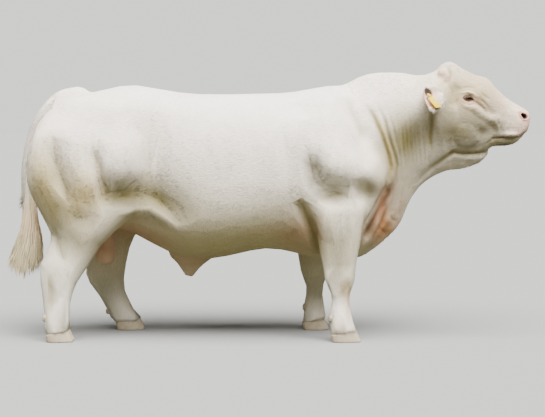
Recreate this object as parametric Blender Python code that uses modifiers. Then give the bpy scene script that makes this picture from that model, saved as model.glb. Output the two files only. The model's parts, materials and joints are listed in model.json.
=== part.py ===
# Charolais bull, standing: a still, life-size model, divided into the parts that a person would name.
# Blender 4.5, metres, +Z up. The bull faces +X, its right side is at -Y, and it stands on Z = 0.
#
# The flesh is modelled whole: lofts give the outline, ellipsoids the muscles, and one remesh fuses them.
# Strokes along named lines then press in the folds and raise the ridges, and thin cuts part the nodes.

import math
import random

import bmesh
import bpy
import numpy as np
from mathutils import Matrix, Vector

GAP = 0.0003  # what touching solids keep between them
RIGHT, LEFT = -1, 1  # the sign of Y on each side
BOTH, RIGHT_ONLY, LEFT_ONLY = (RIGHT, LEFT), (RIGHT,), (LEFT,)

BODY_VOXEL = 0.009
HEAD_VOXEL = 0.0045
BODY_SMOOTHING = 12
TRUNK_SMOOTHING = 30
HEAD_SMOOTHING = 6
BODY_TRIANGLES = 4700
HEAD_TRIANGLES = 2250
SPACE_SIDES = 16

# Every loft below is a table of sections. A section runs from its upper end to its lower end in the XZ
# plane, or from its front end to its rear end where the loft stands upright, and it bulges along Y.
# Columns: upper x, upper z, lower x, lower z, centre y, half width, where it is widest as a share of the
# way from lower to upper, and the powers of its upper and lower halves: 2 is an ellipse, more is boxier.

TORSO = (
    (-1.300, 1.120, -1.290, 0.820, 0, 0.150, 0.50, 2.0, 2.0),
    (-1.240, 1.270, -1.240, 0.700, 0, 0.250, 0.52, 2.1, 2.0),
    (-1.110, 1.370, -1.120, 0.640, 0, 0.315, 0.55, 2.3, 2.2),
    (-0.955, 1.398, -0.960, 0.610, 0, 0.340, 0.58, 2.5, 2.3),
    (-0.785, 1.434, -0.790, 0.600, 0, 0.345, 0.60, 2.5, 2.3),
    (-0.620, 1.412, -0.610, 0.505, 0, 0.355, 0.54, 2.8, 2.1),
    (-0.450, 1.385, -0.440, 0.448, 0, 0.395, 0.48, 2.9, 2.1),
    (-0.260, 1.380, -0.260, 0.450, 0, 0.420, 0.47, 2.9, 2.1),
    (-0.040, 1.384, -0.040, 0.498, 0, 0.415, 0.47, 2.8, 2.1),
    (0.140, 1.392, 0.120, 0.486, 0, 0.392, 0.50, 2.6, 1.9),
    (0.300, 1.420, 0.280, 0.438, 0, 0.365, 0.52, 2.3, 1.8),
    (0.430, 1.428, 0.420, 0.428, 0, 0.340, 0.52, 2.0, 1.8),
    (0.520, 1.380, 0.545, 0.470, 0, 0.305, 0.52, 1.9, 1.8),
    (0.600, 1.280, 0.640, 0.560, 0, 0.235, 0.50, 2.0, 1.8),
    (0.640, 1.100, 0.660, 0.720, 0, 0.120, 0.50, 2.0, 2.0),
)
NECK = (
    (0.330, 1.380, 0.360, 0.500, 0, 0.250, 0.55, 2.0, 1.7),
    (0.450, 1.440, 0.495, 0.436, 0, 0.252, 0.60, 1.9, 1.45),
    (0.545, 1.490, 0.600, 0.480, 0, 0.242, 0.62, 1.9, 1.3),
    (0.640, 1.507, 0.700, 0.560, 0, 0.230, 0.64, 2.0, 1.25),
    (0.735, 1.504, 0.768, 0.638, 0, 0.215, 0.66, 2.1, 1.2),
    (0.815, 1.488, 0.832, 0.790, 0, 0.198, 0.66, 2.1, 1.25),
    (0.890, 1.492, 0.930, 0.893, 0, 0.182, 0.66, 2.1, 1.3),
    (0.945, 1.508, 1.030, 0.938, 0, 0.165, 0.64, 2.1, 1.35),
    (0.995, 1.530, 1.120, 0.956, 0, 0.142, 0.62, 2.0, 1.4),
    (1.050, 1.480, 1.215, 0.992, 0, 0.105, 0.60, 2.0, 1.5),
    (1.130, 1.360, 1.268, 1.048, 0, 0.060, 0.60, 2.0, 1.7),
)
HEAD = (
    (0.925, 1.440, 0.960, 1.100, 0, 0.100, 0.55, 2.2, 2.0),
    (0.975, 1.530, 0.995, 1.055, 0, 0.120, 0.58, 2.4, 1.9),
    (1.040, 1.563, 1.040, 1.020, 0, 0.128, 0.60, 2.6, 1.8),
    (1.110, 1.524, 1.110, 1.005, 0, 0.132, 0.62, 2.8, 1.7),
    (1.180, 1.489, 1.180, 1.020, 0, 0.132, 0.64, 3.0, 1.6),
    (1.250, 1.470, 1.235, 1.045, 0, 0.120, 0.62, 3.0, 1.6),
    (1.305, 1.414, 1.280, 1.080, 0, 0.103, 0.58, 2.8, 1.7),
    (1.355, 1.366, 1.320, 1.089, 0, 0.089, 0.56, 2.6, 1.9),
    (1.410, 1.330, 1.365, 1.092, 0, 0.083, 0.54, 2.5, 2.1),
    (1.455, 1.303, 1.412, 1.106, 0, 0.086, 0.54, 2.6, 2.3),
    (1.485, 1.284, 1.450, 1.134, 0, 0.080, 0.52, 2.6, 2.4),
    (1.498, 1.258, 1.484, 1.176, 0, 0.056, 0.50, 2.4, 2.2),
)
# The legs' sections are level or nearly so: upper is the front edge and lower the rear edge.
FORE_LEG_RIGHT = (
    (0.590, 0.960, 0.200, 0.900, -0.235, 0.120, 0.50, 2.2, 2.2),
    (0.562, 0.800, 0.196, 0.780, -0.250, 0.114, 0.50, 2.3, 2.2),
    (0.538, 0.665, 0.248, 0.660, -0.255, 0.098, 0.55, 2.3, 2.0),
    (0.522, 0.545, 0.283, 0.540, -0.252, 0.084, 0.58, 2.2, 1.9),
    (0.500, 0.440, 0.308, 0.435, -0.248, 0.070, 0.58, 2.2, 2.0),
    (0.498, 0.365, 0.322, 0.355, -0.246, 0.069, 0.58, 2.6, 2.3),
    (0.480, 0.310, 0.345, 0.300, -0.245, 0.060, 0.55, 2.4, 2.3),
    (0.462, 0.260, 0.363, 0.255, -0.246, 0.047, 0.55, 2.2, 2.2),
    (0.462, 0.200, 0.358, 0.190, -0.248, 0.047, 0.55, 2.2, 2.2),
    (0.474, 0.150, 0.350, 0.138, -0.250, 0.058, 0.52, 2.4, 2.4),
    (0.484, 0.112, 0.356, 0.100, -0.250, 0.056, 0.52, 2.4, 2.4),
)
FORE_LEG_LEFT = tuple(
    (fx - 0.112 - 0.028 * (0.96 - fz), fz, rx - 0.112 - 0.028 * (0.90 - rz), rz, -y, half, wide, a, b)
    for fx, fz, rx, rz, y, half, wide, a, b in FORE_LEG_RIGHT
)
HIND_LEG_RIGHT = (
    (-0.830, 1.330, -1.130, 1.300, -0.180, 0.110, 0.50, 2.2, 2.2),
    (-0.720, 1.200, -1.280, 1.150, -0.210, 0.150, 0.50, 2.2, 2.2),
    (-0.665, 1.050, -1.325, 1.000, -0.220, 0.156, 0.50, 2.3, 2.3),
    (-0.665, 0.900, -1.320, 0.850, -0.228, 0.146, 0.52, 2.3, 2.2),
    (-0.705, 0.765, -1.275, 0.740, -0.234, 0.124, 0.55, 2.3, 2.0),
    (-0.800, 0.650, -1.228, 0.650, -0.236, 0.102, 0.60, 2.3, 1.7),
    (-0.895, 0.565, -1.208, 0.580, -0.236, 0.082, 0.62, 2.3, 1.4),
    (-0.945, 0.500, -1.228, 0.510, -0.236, 0.068, 0.62, 2.3, 1.5),
    (-0.985, 0.430, -1.262, 0.445, -0.236, 0.064, 0.60, 2.4, 1.9),
    (-1.030, 0.370, -1.268, 0.385, -0.238, 0.062, 0.58, 2.4, 2.1),
    (-1.072, 0.300, -1.258, 0.310, -0.242, 0.052, 0.55, 2.3, 2.1),
    (-1.092, 0.230, -1.246, 0.230, -0.246, 0.048, 0.55, 2.2, 2.1),
    (-1.098, 0.150, -1.240, 0.140, -0.250, 0.058, 0.52, 2.4, 2.4),
    (-1.096, 0.112, -1.234, 0.100, -0.250, 0.056, 0.52, 2.4, 2.4),
)
HIND_LEG_LEFT = (
    (-0.800, 1.330, -1.110, 1.300, 0.180, 0.110, 0.50, 2.2, 2.2),
    (-0.690, 1.200, -1.270, 1.150, 0.210, 0.150, 0.50, 2.2, 2.2),
    (-0.625, 1.050, -1.315, 1.000, 0.220, 0.156, 0.50, 2.3, 2.3),
    (-0.615, 0.900, -1.300, 0.850, 0.228, 0.146, 0.52, 2.3, 2.2),
    (-0.640, 0.765, -1.235, 0.740, 0.232, 0.124, 0.55, 2.3, 2.0),
    (-0.710, 0.640, -1.150, 0.640, 0.234, 0.102, 0.60, 2.3, 1.7),
    (-0.775, 0.560, -1.090, 0.545, 0.236, 0.082, 0.62, 2.3, 1.4),
    (-0.805, 0.490, -1.065, 0.455, 0.238, 0.068, 0.62, 2.3, 1.5),
    (-0.822, 0.425, -1.072, 0.375, 0.240, 0.064, 0.60, 2.4, 1.9),
    (-0.838, 0.350, -1.068, 0.310, 0.242, 0.062, 0.58, 2.4, 2.1),
    (-0.846, 0.285, -1.030, 0.250, 0.244, 0.052, 0.55, 2.3, 2.1),
    (-0.836, 0.225, -0.985, 0.190, 0.247, 0.048, 0.55, 2.2, 2.1),
    (-0.812, 0.160, -0.945, 0.118, 0.250, 0.058, 0.52, 2.4, 2.4),
    (-0.790, 0.118, -0.925, 0.085, 0.250, 0.056, 0.52, 2.4, 2.4),
)
TAIL = (
    (-0.985, 1.375, -0.985, 1.300, 0, 0.038, 0.50, 2.0, 2.0),
    (-1.040, 1.420, -1.030, 1.340, 0, 0.040, 0.50, 2.0, 2.0),
    (-1.095, 1.425, -1.070, 1.348, 0, 0.040, 0.50, 2.0, 2.0),
    (-1.160, 1.412, -1.130, 1.335, 0, 0.038, 0.50, 2.0, 2.0),
    (-1.230, 1.370, -1.190, 1.300, 0, 0.036, 0.50, 2.0, 2.0),
    (-1.290, 1.300, -1.235, 1.255, 0, 0.035, 0.50, 2.0, 2.0),
    (-1.345, 1.205, -1.285, 1.180, 0, 0.034, 0.50, 2.0, 2.0),
    (-1.385, 1.085, -1.322, 1.075, 0, 0.033, 0.50, 2.0, 2.0),
    (-1.400, 0.960, -1.332, 0.958, 0, 0.033, 0.50, 2.0, 2.0),
    (-1.398, 0.830, -1.326, 0.832, 0, 0.034, 0.50, 2.0, 2.0),
    (-1.393, 0.740, -1.320, 0.742, 0, 0.034, 0.50, 2.0, 2.0),
    (-1.390, 0.690, -1.330, 0.690, 0, 0.026, 0.50, 2.0, 2.0),
    (-1.384, 0.660, -1.346, 0.660, 0, 0.016, 0.50, 2.0, 2.0),
)
# The core of the switch, down to half way: upper is the rear edge and lower the front edge.
SWITCH = (
    (-1.402, 0.765, -1.312, 0.765, 0, 0.042, 0.50, 2.0, 2.0),
    (-1.404, 0.700, -1.306, 0.700, 0, 0.046, 0.50, 2.0, 2.0),
    (-1.410, 0.640, -1.306, 0.640, 0, 0.050, 0.50, 2.0, 2.0),
    (-1.424, 0.580, -1.300, 0.580, 0, 0.052, 0.50, 2.0, 2.0),
    (-1.434, 0.530, -1.312, 0.530, 0, 0.040, 0.50, 2.0, 2.0),
)
LOCK_SEED = 7
SWITCH_TIP_X = -1.396  # the middle of the tips
# Rings of locks, from the top: root height, number of locks, root ring's half length and half width, tips'
# height, how far the tips stand from the middle along and across, half width and half thickness.
SWITCH_LOCKS = (
    (0.725, 8, 0.040, 0.036, 0.500, 0.070, 0.066, 0.021, 0.0075),
    (0.650, 8, 0.045, 0.040, 0.380, 0.090, 0.070, 0.025, 0.0085),
    (0.575, 8, 0.046, 0.040, 0.300, 0.108, 0.062, 0.027, 0.0090),
    (0.560, 4, 0.018, 0.014, 0.290, 0.050, 0.026, 0.024, 0.0100),
)
SHEATH = (
    (-0.200, 0.520, -0.300, 0.500, 0, 0.030, 0.50, 2.0, 2.0),
    (-0.270, 0.470, -0.560, 0.470, 0, 0.050, 0.50, 2.0, 2.0),
    (-0.345, 0.420, -0.520, 0.420, 0, 0.042, 0.50, 2.0, 2.0),
    (-0.396, 0.370, -0.488, 0.370, 0, 0.034, 0.50, 2.0, 2.0),
    (-0.412, 0.334, -0.466, 0.330, 0, 0.027, 0.50, 2.0, 2.0),
)
SCROTUM = (
    (-0.860, 0.720, -0.990, 0.720, 0, 0.050, 0.50, 2.0, 2.0),
    (-0.885, 0.620, -0.975, 0.620, 0, 0.040, 0.50, 2.0, 2.0),
    (-0.872, 0.560, -0.985, 0.560, 0, 0.058, 0.50, 2.0, 2.0),
    (-0.862, 0.490, -0.992, 0.490, 0, 0.078, 0.50, 2.2, 2.2),
    (-0.868, 0.435, -0.986, 0.435, 0, 0.074, 0.50, 2.2, 2.2),
    (-0.892, 0.405, -0.960, 0.405, 0, 0.044, 0.50, 2.0, 2.0),
)

# Bony points and masses that the lofts leave out, on both sides: centre x, y, z, half sizes along, across
# and up, and how far the top leans back, in degrees.
BODY_LUMPS = (
    (-0.400, 0.150, 1.270, 0.400, 0.150, 0.100, 0),  # loin
    (-0.920, 0.170, 1.230, 0.270, 0.165, 0.150, -8),  # rump
    (-1.190, 0.165, 1.030, 0.130, 0.130, 0.290, -8),  # round, at the back
)
HEAD_LUMPS = (
    (1.128, 0.107, 1.352, 0.031, 0.030, 0.029, 0),  # the lids, over the eye
    (1.135, 0.092, 1.395, 0.055, 0.034, 0.024, -12),  # brow
    (0.992, 0.086, 1.488, 0.030, 0.022, 0.038, 12),  # stump of the horn
    (1.110, 0.062, 1.190, 0.120, 0.058, 0.120, 12),  # cheek
    (1.444, 0.056, 1.252, 0.038, 0.030, 0.034, 0),  # wing of the nostril
    (1.385, 0.048, 1.155, 0.070, 0.036, 0.030, -5),  # lips
)
CREST = (0.690, 0.0, 1.395, 0.240, 0.110, 0.112, 4)

# Folds, hollows and swellings: sides, radius, height (negative presses in), and the line's x, z points.
BODY_STROKES = (
    (BOTH, 0.130, 0.040, ((0.330, 1.270), (0.400, 1.010))),  # shoulder blade
    (BOTH, 0.075, 0.026, ((0.560, 0.960), (0.595, 0.905))),  # point of the shoulder
    (BOTH, 0.085, 0.030, ((0.290, 0.975), (0.400, 0.950))),  # triceps
    (BOTH, 0.034, -0.018, ((0.425, 1.320), (0.484, 1.240), (0.540, 1.130))),  # front of the shoulder
    (BOTH, 0.046, -0.015, ((0.142, 1.305), (0.245, 1.280))),  # above the shoulder blade
    (BOTH, 0.042, -0.032, ((0.240, 1.000), (0.266, 0.940))),  # behind the triceps
    (BOTH, 0.034, -0.018, ((0.280, 0.875), (0.345, 0.868), (0.420, 0.872))),  # under the triceps
    (BOTH, 0.048, -0.022, ((0.345, 0.812), (0.405, 0.808))),  # above the forearm
    (BOTH, 0.032, -0.024, ((0.505, 0.870), (0.528, 0.810))),  # below the point of the shoulder
    (BOTH, 0.030, -0.028, ((0.185, 0.760), (0.232, 0.672), (0.270, 0.570))),  # behind the elbow
    (BOTH, 0.050, 0.018, ((0.350, 0.720), (0.340, 0.640))),  # forearm
    (BOTH, 0.110, 0.030, ((-1.205, 1.120), (-1.225, 0.930))),  # back of the thigh
    (BOTH, 0.095, 0.036, ((-0.795, 1.090), (-0.790, 0.985))),  # front of the thigh
    (BOTH, 0.070, 0.020, ((-1.035, 1.100), (-0.990, 0.880))),  # middle of the thigh
    (BOTH, 0.034, -0.026, ((-1.175, 1.090), (-1.156, 1.010), (-1.120, 0.890), (-1.080, 0.800))),
    (BOTH, 0.030, -0.024, ((-0.936, 1.050), (-0.912, 0.940), (-0.894, 0.832), (-0.884, 0.770))),
    (BOTH, 0.055, -0.024, ((-0.850, 0.850), (-0.745, 0.850))),  # hollow above the stifle
    (BOTH, 0.034, -0.012, ((-1.060, 0.672), (-0.980, 0.690))),  # above the gaskin
    (BOTH, 0.075, -0.024, ((-0.640, 1.190), (-0.640, 1.050), (-0.640, 0.930))),  # flank hollow
    (BOTH, 0.080, 0.014, ((-0.720, 1.300), (-0.800, 1.280))),  # hook bone
    (BOTH, 0.030, 0.016, ((-0.735, 0.740), (-0.637, 0.750), (-0.520, 0.680), (-0.464, 0.632))),  # flank fold
    (BOTH, 0.026, -0.016, ((-0.640, 0.815), (-0.555, 0.735), (-0.500, 0.680))),
    (BOTH, 0.017, -0.016, ((0.577, 1.282), (0.640, 1.150), (0.682, 1.038), (0.695, 0.968), (0.670, 0.850))),
    (BOTH, 0.016, -0.010, ((0.640, 1.282), (0.681, 1.136), (0.716, 1.038), (0.730, 0.940))),
    (BOTH, 0.024, -0.024, ((0.672, 0.830), (0.619, 0.696), (0.570, 0.580))),  # between leg and brisket
    (BOTH, 0.016, -0.010, ((0.735, 0.900), (0.706, 0.800), (0.690, 0.700))),  # folds of the brisket
    (BOTH, 0.014, -0.008, ((0.780, 0.740), (0.735, 0.640))),
    (BOTH, 0.022, 0.010, ((0.322, 0.365), (0.330, 0.345))),  # back of the knee
    (BOTH, 0.020, -0.010, ((0.430, 0.330), (0.400, 0.250), (0.405, 0.180))),  # along the cannon
    (RIGHT_ONLY, 0.022, -0.012, ((-1.170, 0.580), (-1.165, 0.480))),  # before the hock's tendon
    (RIGHT_ONLY, 0.020, -0.010, ((-1.190, 0.330), (-1.185, 0.190))),
)
HEAD_STROKES = (
    (BOTH, 0.009, -0.011, ((1.285, 1.130), (1.340, 1.136), (1.393, 1.132), (1.440, 1.143), (1.478, 1.163))),
    (BOTH, 0.024, -0.010, ((1.165, 1.335), (1.215, 1.305), (1.260, 1.270))),  # tear groove
    (BOTH, 0.030, -0.010, ((1.060, 1.400), (1.050, 1.330))),  # temple
    (BOTH, 0.022, 0.008, ((1.170, 1.300), (1.240, 1.255), (1.290, 1.235))),  # crest of the face
    (BOTH, 0.030, -0.010, ((1.215, 1.160), (1.290, 1.170))),  # before the cheek
    (BOTH, 0.013, -0.006, ((1.022, 1.520), (1.032, 1.480), (1.005, 1.440))),  # round the horn's stump
)
# Folds that run over the line between the head and the neck.
JAW_STROKES = (
    (BOTH, 0.014, -0.010, ((1.278, 1.048), (1.160, 1.042), (1.060, 1.048), (0.993, 1.003), (0.934, 0.955))),
    (BOTH, 0.016, -0.009, ((0.928, 1.300), (0.920, 1.200), (0.916, 1.090))),  # behind the jaw
    (BOTH, 0.018, -0.008, ((0.934, 0.955), (0.870, 0.900))),
)

EYE = (1.128, 0.107, 1.352)
EYE_RADIUS = 0.0225
# Openings pressed into the head on both sides: centre x, y, z, half sizes along, across and up, and turns
# about Y and Z in degrees.
LID_OPENING = (1.127, 0.131, 1.352, 0.027, 0.017, 0.0105, 8, 4)
NOSTRIL = (1.455, 0.072, 1.258, 0.021, 0.020, 0.014, -38, -30)

# Where the nodes of flesh part: two points of each line, upper then lower, and the low and high corners.
HEAD_LINE = ((0.870, 1.500), (1.050, 0.950))
NECK_LINE = ((0.490, 1.440), (0.740, 0.600))
SHEATH_BOX = ((-0.66, -0.12, 0.25), (-0.18, 0.12, 0.440))
SCROTUM_BOX = ((-1.04, -0.125, 0.36), (-0.80, 0.125, 0.585))

# Each foot: where its sole begins and ends, and its centre y.
FEET = {
    "right_fore": (0.530, 0.362, -0.250),
    "left_fore": (0.370, 0.214, 0.250),
    "right_hind": (-1.070, -1.222, -0.250),
    "left_hind": (-0.720, -0.886, 0.250),
}
LEGS = {
    "right_fore": FORE_LEG_RIGHT,
    "left_fore": FORE_LEG_LEFT,
    "right_hind": HIND_LEG_RIGHT,
    "left_hind": HIND_LEG_LEFT,
}
TOE_SPREAD = 0.0335  # from the foot's middle to each claw's middle
DEWCLAW_SPREAD = 0.026

# The ear, from its root to its tip, on the right side; the left one is its mirror image.
EAR_ROOT = Vector((0.938, -0.112, 1.423))
EAR_TIP = Vector((0.906, -0.290, 1.288))
EAR_OPENS = Vector((0.35, -0.75, 0.50))
EAR_BULGE = 0.020
# Share of the length, half width, depth of the back, and how far the inside is hollowed (below 0: closed).
EAR_SECTIONS = (
    (0.00, 0.028, 0.024, -0.95),
    (0.10, 0.038, 0.030, -0.60),
    (0.18, 0.048, 0.036, 0.30),
    (0.28, 0.056, 0.040, 0.66),
    (0.38, 0.062, 0.040, 0.74),
    (0.50, 0.066, 0.036, 0.74),
    (0.63, 0.065, 0.030, 0.70),
    (0.76, 0.056, 0.022, 0.62),
    (0.88, 0.038, 0.014, 0.45),
    (0.96, 0.017, 0.008, 0.10),
    (1.00, 0.007, 0.004, -0.50),
)
# The tag's button: share of the ear's length, distance from its middle towards the back edge, and how far
# the plate stands over the ear's rim.
TAG_SHARE, TAG_BACK, TAG_RISE = 0.64, 0.032, 0.008
TAG_HANGS = Vector((0.60, -0.51, -0.80))
# One half of the plate's outline, from the top middle down: distance from its middle line, and height.
TAG_OUTLINE = (
    (0.007, 0.015),
    (0.011, 0.009),
    (0.012, -0.014),
    (0.022, -0.028),
    (0.025, -0.036),
    (0.026, -0.086),
    (0.021, -0.092),
)

COAT = (0.80, 0.76, 0.68)
SKIN_PINK = (0.66, 0.42, 0.34)
HORN = (0.48, 0.42, 0.33)


def rings_between(rows, steps):
    """The sections of a table, with more between them along a smooth curve through each column."""
    rows = np.asarray(rows, float)
    padded = np.vstack([2 * rows[0] - rows[1], rows, 2 * rows[-1] - rows[-2]])
    made = []
    for before, start, end, after in zip(padded, padded[1:], padded[2:], padded[3:]):
        for t in np.arange(steps) / steps:
            curve = (end - before) * t + (2 * before - 5 * start + 4 * end - after) * t**2
            made.append(start + 0.5 * (curve + (3 * start - before - 3 * end + after) * t**3))
    return made + [rows[-1]]


def section_points(ring, sides, grow=0.0):
    """The outline of one section: a superellipse with its own power above and below its widest line."""
    upper_x, upper_z, lower_x, lower_z, centre_y, half, wide, upper_power, lower_power = ring
    upper, lower = Vector((upper_x, 0, upper_z)), Vector((lower_x, 0, lower_z))
    along = (upper - lower).normalized()
    upper, lower, half = upper + along * grow, lower - along * grow, half + grow
    points = []
    for angle in np.linspace(0, 2 * math.pi, sides, endpoint=False):
        side, rise = math.cos(angle), math.sin(angle)
        power = upper_power if rise >= 0 else lower_power
        reach = abs(rise) ** (2 / power)
        share = wide + (1 - wide) * reach if rise >= 0 else wide * (1 - reach)
        across = math.copysign(abs(side) ** (2 / power), side) * half
        points.append(lower.lerp(upper, share) + Vector((0, centre_y + across, 0)))
    return points


def mesh_object(name, work):
    """A new object from a bmesh, in triangles, with its faces turned outwards."""
    bmesh.ops.recalc_face_normals(work, faces=work.faces)
    bmesh.ops.triangulate(work, faces=work.faces)
    mesh = bpy.data.meshes.new(name)
    work.to_mesh(mesh)
    work.free()
    thing = bpy.data.objects.new(name, mesh)
    bpy.context.scene.collection.objects.link(thing)
    return thing


def loft(name, rows, sides=32, steps=4, grow=0.0):
    """A closed body through a table's sections. Its ends are fans about their middles."""
    work = bmesh.new()
    rings = []
    for ring in rings_between(rows, steps):
        rings.append([work.verts.new(point) for point in section_points(ring, sides, grow)])
    for near, far in zip(rings, rings[1:]):
        for i in range(sides):
            j = (i + 1) % sides
            work.faces.new((near[i], near[j], far[j], far[i]))
    for end in (rings[0], rings[-1]):
        middle = work.verts.new(sum((v.co for v in end), Vector()) / sides)
        for i in range(sides):
            work.faces.new((end[i], end[(i + 1) % sides], middle))
    return mesh_object(name, work)


def ellipsoid(name, x, y, z, along, across, up, lean, segments=24):
    """A muscle: a sphere, stretched along its axes and leaned back about Y."""
    bpy.ops.mesh.primitive_uv_sphere_add(segments=segments, ring_count=segments // 2, radius=1)
    thing = bpy.context.object
    thing.name = name
    turn = Matrix.Rotation(math.radians(-lean), 4, "Y")
    size = Matrix.Diagonal((along, across, up, 1))
    thing.data.transform(Matrix.Translation((x, y, z)) @ turn @ size)
    return thing


def both_sides(name, row, segments=24):
    x, y, z, *rest = row
    return [ellipsoid(f"{name}_{side}", x, side * y, z, *rest, segments=segments) for side in (RIGHT, LEFT)]


def remove(things):
    for thing in things:
        bpy.data.objects.remove(thing)


def evaluated_copy(thing, name):
    """The object's mesh with its modifiers applied, as a new object with none."""
    graph = bpy.context.evaluated_depsgraph_get()
    mesh = bpy.data.meshes.new_from_object(thing.evaluated_get(graph))
    made = bpy.data.objects.new(name, mesh)
    made.matrix_world = thing.matrix_world
    bpy.context.scene.collection.objects.link(made)
    return made


def remeshed(thing, name, voxel, smoothing):
    """The object's outer surface on a grid, relaxed. Overlapping pieces become one."""
    remesh = thing.modifiers.new("Fuse", "REMESH")
    remesh.mode = "VOXEL"
    remesh.voxel_size = voxel
    smooth = thing.modifiers.new("Relax", "SMOOTH")
    smooth.factor = 0.5
    smooth.iterations = smoothing
    made = evaluated_copy(thing, name)
    remove([thing])
    return made


def fused(name, pieces, voxel, smoothing):
    """The pieces as one smooth body."""
    work = bmesh.new()
    for piece in pieces:
        work.from_mesh(piece.data)
    remove(pieces)
    return remeshed(mesh_object(name + "_pieces", work), name, voxel, smoothing)


def outward_normals(mesh):
    normals = np.empty(len(mesh.vertices) * 3)
    mesh.vertices.foreach_get("normal", normals)
    return normals.reshape(-1, 3)


def vertex_places(mesh):
    places = np.empty(len(mesh.vertices) * 3)
    mesh.vertices.foreach_get("co", places)
    return places.reshape(-1, 3)


def distance_to_path(x, z, path):
    """Each vertex's distance, seen from the side, to a line through the path's points."""
    nearest = np.full(len(x), np.inf)
    for (ax, az), (bx, bz) in zip(path, path[1:]):
        length = (bx - ax) ** 2 + (bz - az) ** 2
        share = np.clip(((x - ax) * (bx - ax) + (z - az) * (bz - az)) / length, 0, 1)
        nearest = np.minimum(nearest, np.hypot(x - ax - share * (bx - ax), z - az - share * (bz - az)))
    return nearest


def press_strokes(thing, strokes):
    """Raises (+) or presses in (-) the surface along each stroke, on the sides that it names."""
    places, normals = vertex_places(thing.data), outward_normals(thing.data)
    moves = np.zeros(len(places))
    for sides, radius, height, path in strokes:
        reach = np.exp(-((distance_to_path(places[:, 0], places[:, 2], path) / radius) ** 2))
        for side in sides:
            facing = np.clip(normals[:, 1] * side * 2.0 + 0.15, 0, 1) * (places[:, 1] * side > 0.01)
            moves += height * reach * facing
    places += normals * moves[:, None]
    thing.data.vertices.foreach_set("co", places.ravel())
    thing.data.update()


def relaxed(thing, iterations, weight):
    """The object smoothed again, each vertex as much as weight(places) says."""
    group = thing.vertex_groups.new(name="relax")
    for number, amount in enumerate(weight(vertex_places(thing.data))):
        group.add([number], float(amount), "REPLACE")
    smooth = thing.modifiers.new("Soften", "SMOOTH")
    smooth.factor = 0.5
    smooth.iterations = iterations
    smooth.vertex_group = group.name
    made = evaluated_copy(thing, thing.name)
    remove([thing])
    return made


def trunk_share(places):
    """1 on the trunk, where the muscles run into one another, and 0 on the legs, head and sheath."""
    return np.clip((places[:, 2] - 0.62) / 0.15, 0, 1) * np.clip((0.80 - places[:, 0]) / 0.15, 0, 1)


def with_booleans(thing, name, keep=(), cut=(), solver="EXACT"):
    """A new object: the thing's part inside each of keep, less each of cut."""
    for operation, tools in (("INTERSECT", keep), ("DIFFERENCE", cut)):
        for tool in tools:
            step = thing.modifiers.new(tool.name, "BOOLEAN")
            step.operation = operation
            step.solver = solver
            step.object = tool
    made = evaluated_copy(thing, name)
    thing.modifiers.clear()
    return made


def largest_piece(thing):
    """Only the mesh's largest closed surface stays."""
    work = bmesh.new()
    work.from_mesh(thing.data)
    unseen = set(work.verts)
    pieces = []
    while unseen:
        queue = [unseen.pop()]
        piece = set(queue)
        while queue:
            for edge in queue.pop().link_edges:
                for vert in edge.verts:
                    if vert in unseen:
                        unseen.discard(vert)
                        piece.add(vert)
                        queue.append(vert)
        pieces.append(piece)
    largest = max(pieces, key=len)
    bmesh.ops.delete(work, geom=[v for v in work.verts if v not in largest], context="VERTS")
    work.to_mesh(thing.data)
    work.free()
    return thing


def grown(thing, name, amount=GAP * 1.4):
    """A copy, moved outwards along its normals, that cuts the room for the thing and its gap."""
    copy = bpy.data.objects.new(name, thing.data.copy())
    bpy.context.scene.collection.objects.link(copy)
    places = vertex_places(copy.data) + outward_normals(copy.data) * amount
    copy.data.vertices.foreach_set("co", places.ravel())
    copy.data.update()
    return helper(copy)


def helper(thing):
    """Marks an object as a cutter: not rendered and shown as wire."""
    thing.hide_render = True
    thing.display_type = "WIRE"
    return thing


def prism(name, outline, near_y, far_y):
    """A cutter: an outline in the XZ plane, carried along Y."""
    work = bmesh.new()
    rings = [[work.verts.new((x, y, z)) for x, z in outline] for y in (near_y, far_y)]
    for ring in rings:
        work.faces.new(ring)
    for i in range(len(outline)):
        j = (i + 1) % len(outline)
        work.faces.new((rings[0][i], rings[0][j], rings[1][j], rings[1][i]))
    return helper(mesh_object(name, work))


def beyond_line(name, upper, lower, gap):
    """A cutter that fills all space in front of a slanting line, moved back by the gap."""
    upper, lower = Vector(upper), Vector(lower)
    down = (lower - upper).normalized()
    forward = Vector((-down.y, down.x))
    top, bottom = upper - down * 0.5 - forward * gap, lower + down * 0.5 - forward * gap
    outline = (top, bottom, bottom + forward * 1.6, top + forward * 1.6)
    return prism(name, [tuple(p) for p in outline], -0.8, 0.8)


def decimated(thing, triangles):
    """The object with about so many triangles."""
    count = sum(len(face.vertices) - 2 for face in thing.data.polygons)
    fewer = thing.modifiers.new("Fewer", "DECIMATE")
    fewer.ratio = triangles / count
    fewer.use_collapse_triangulate = True
    made = evaluated_copy(thing, thing.name)
    remove([thing])
    return made


def toe_rows(foot, side):
    """A toe, from the fetlock into its claw. side is +1 or -1 along Y from the foot's middle."""
    front, rear, y = FEET[foot]
    leg = LEGS[foot]
    above_front_x, above_front_z, above_rear_x, above_rear_z = leg[-2][:4]
    end_front_x, end_front_z, end_rear_x, end_rear_z = leg[-1][:4]
    return (
        (above_front_x - 0.01, above_front_z, above_rear_x + 0.01, above_rear_z, y + side * 0.024, 0.032),
        (end_front_x, end_front_z, end_rear_x, end_rear_z, y + side * 0.030, 0.032),
        (front - 0.028, 0.074, rear - 0.004, 0.044, y + side * 0.0335, 0.0315),
        (front - 0.020, 0.028, rear + 0.002, 0.020, y + side * 0.0335, 0.0300),
    )


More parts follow.
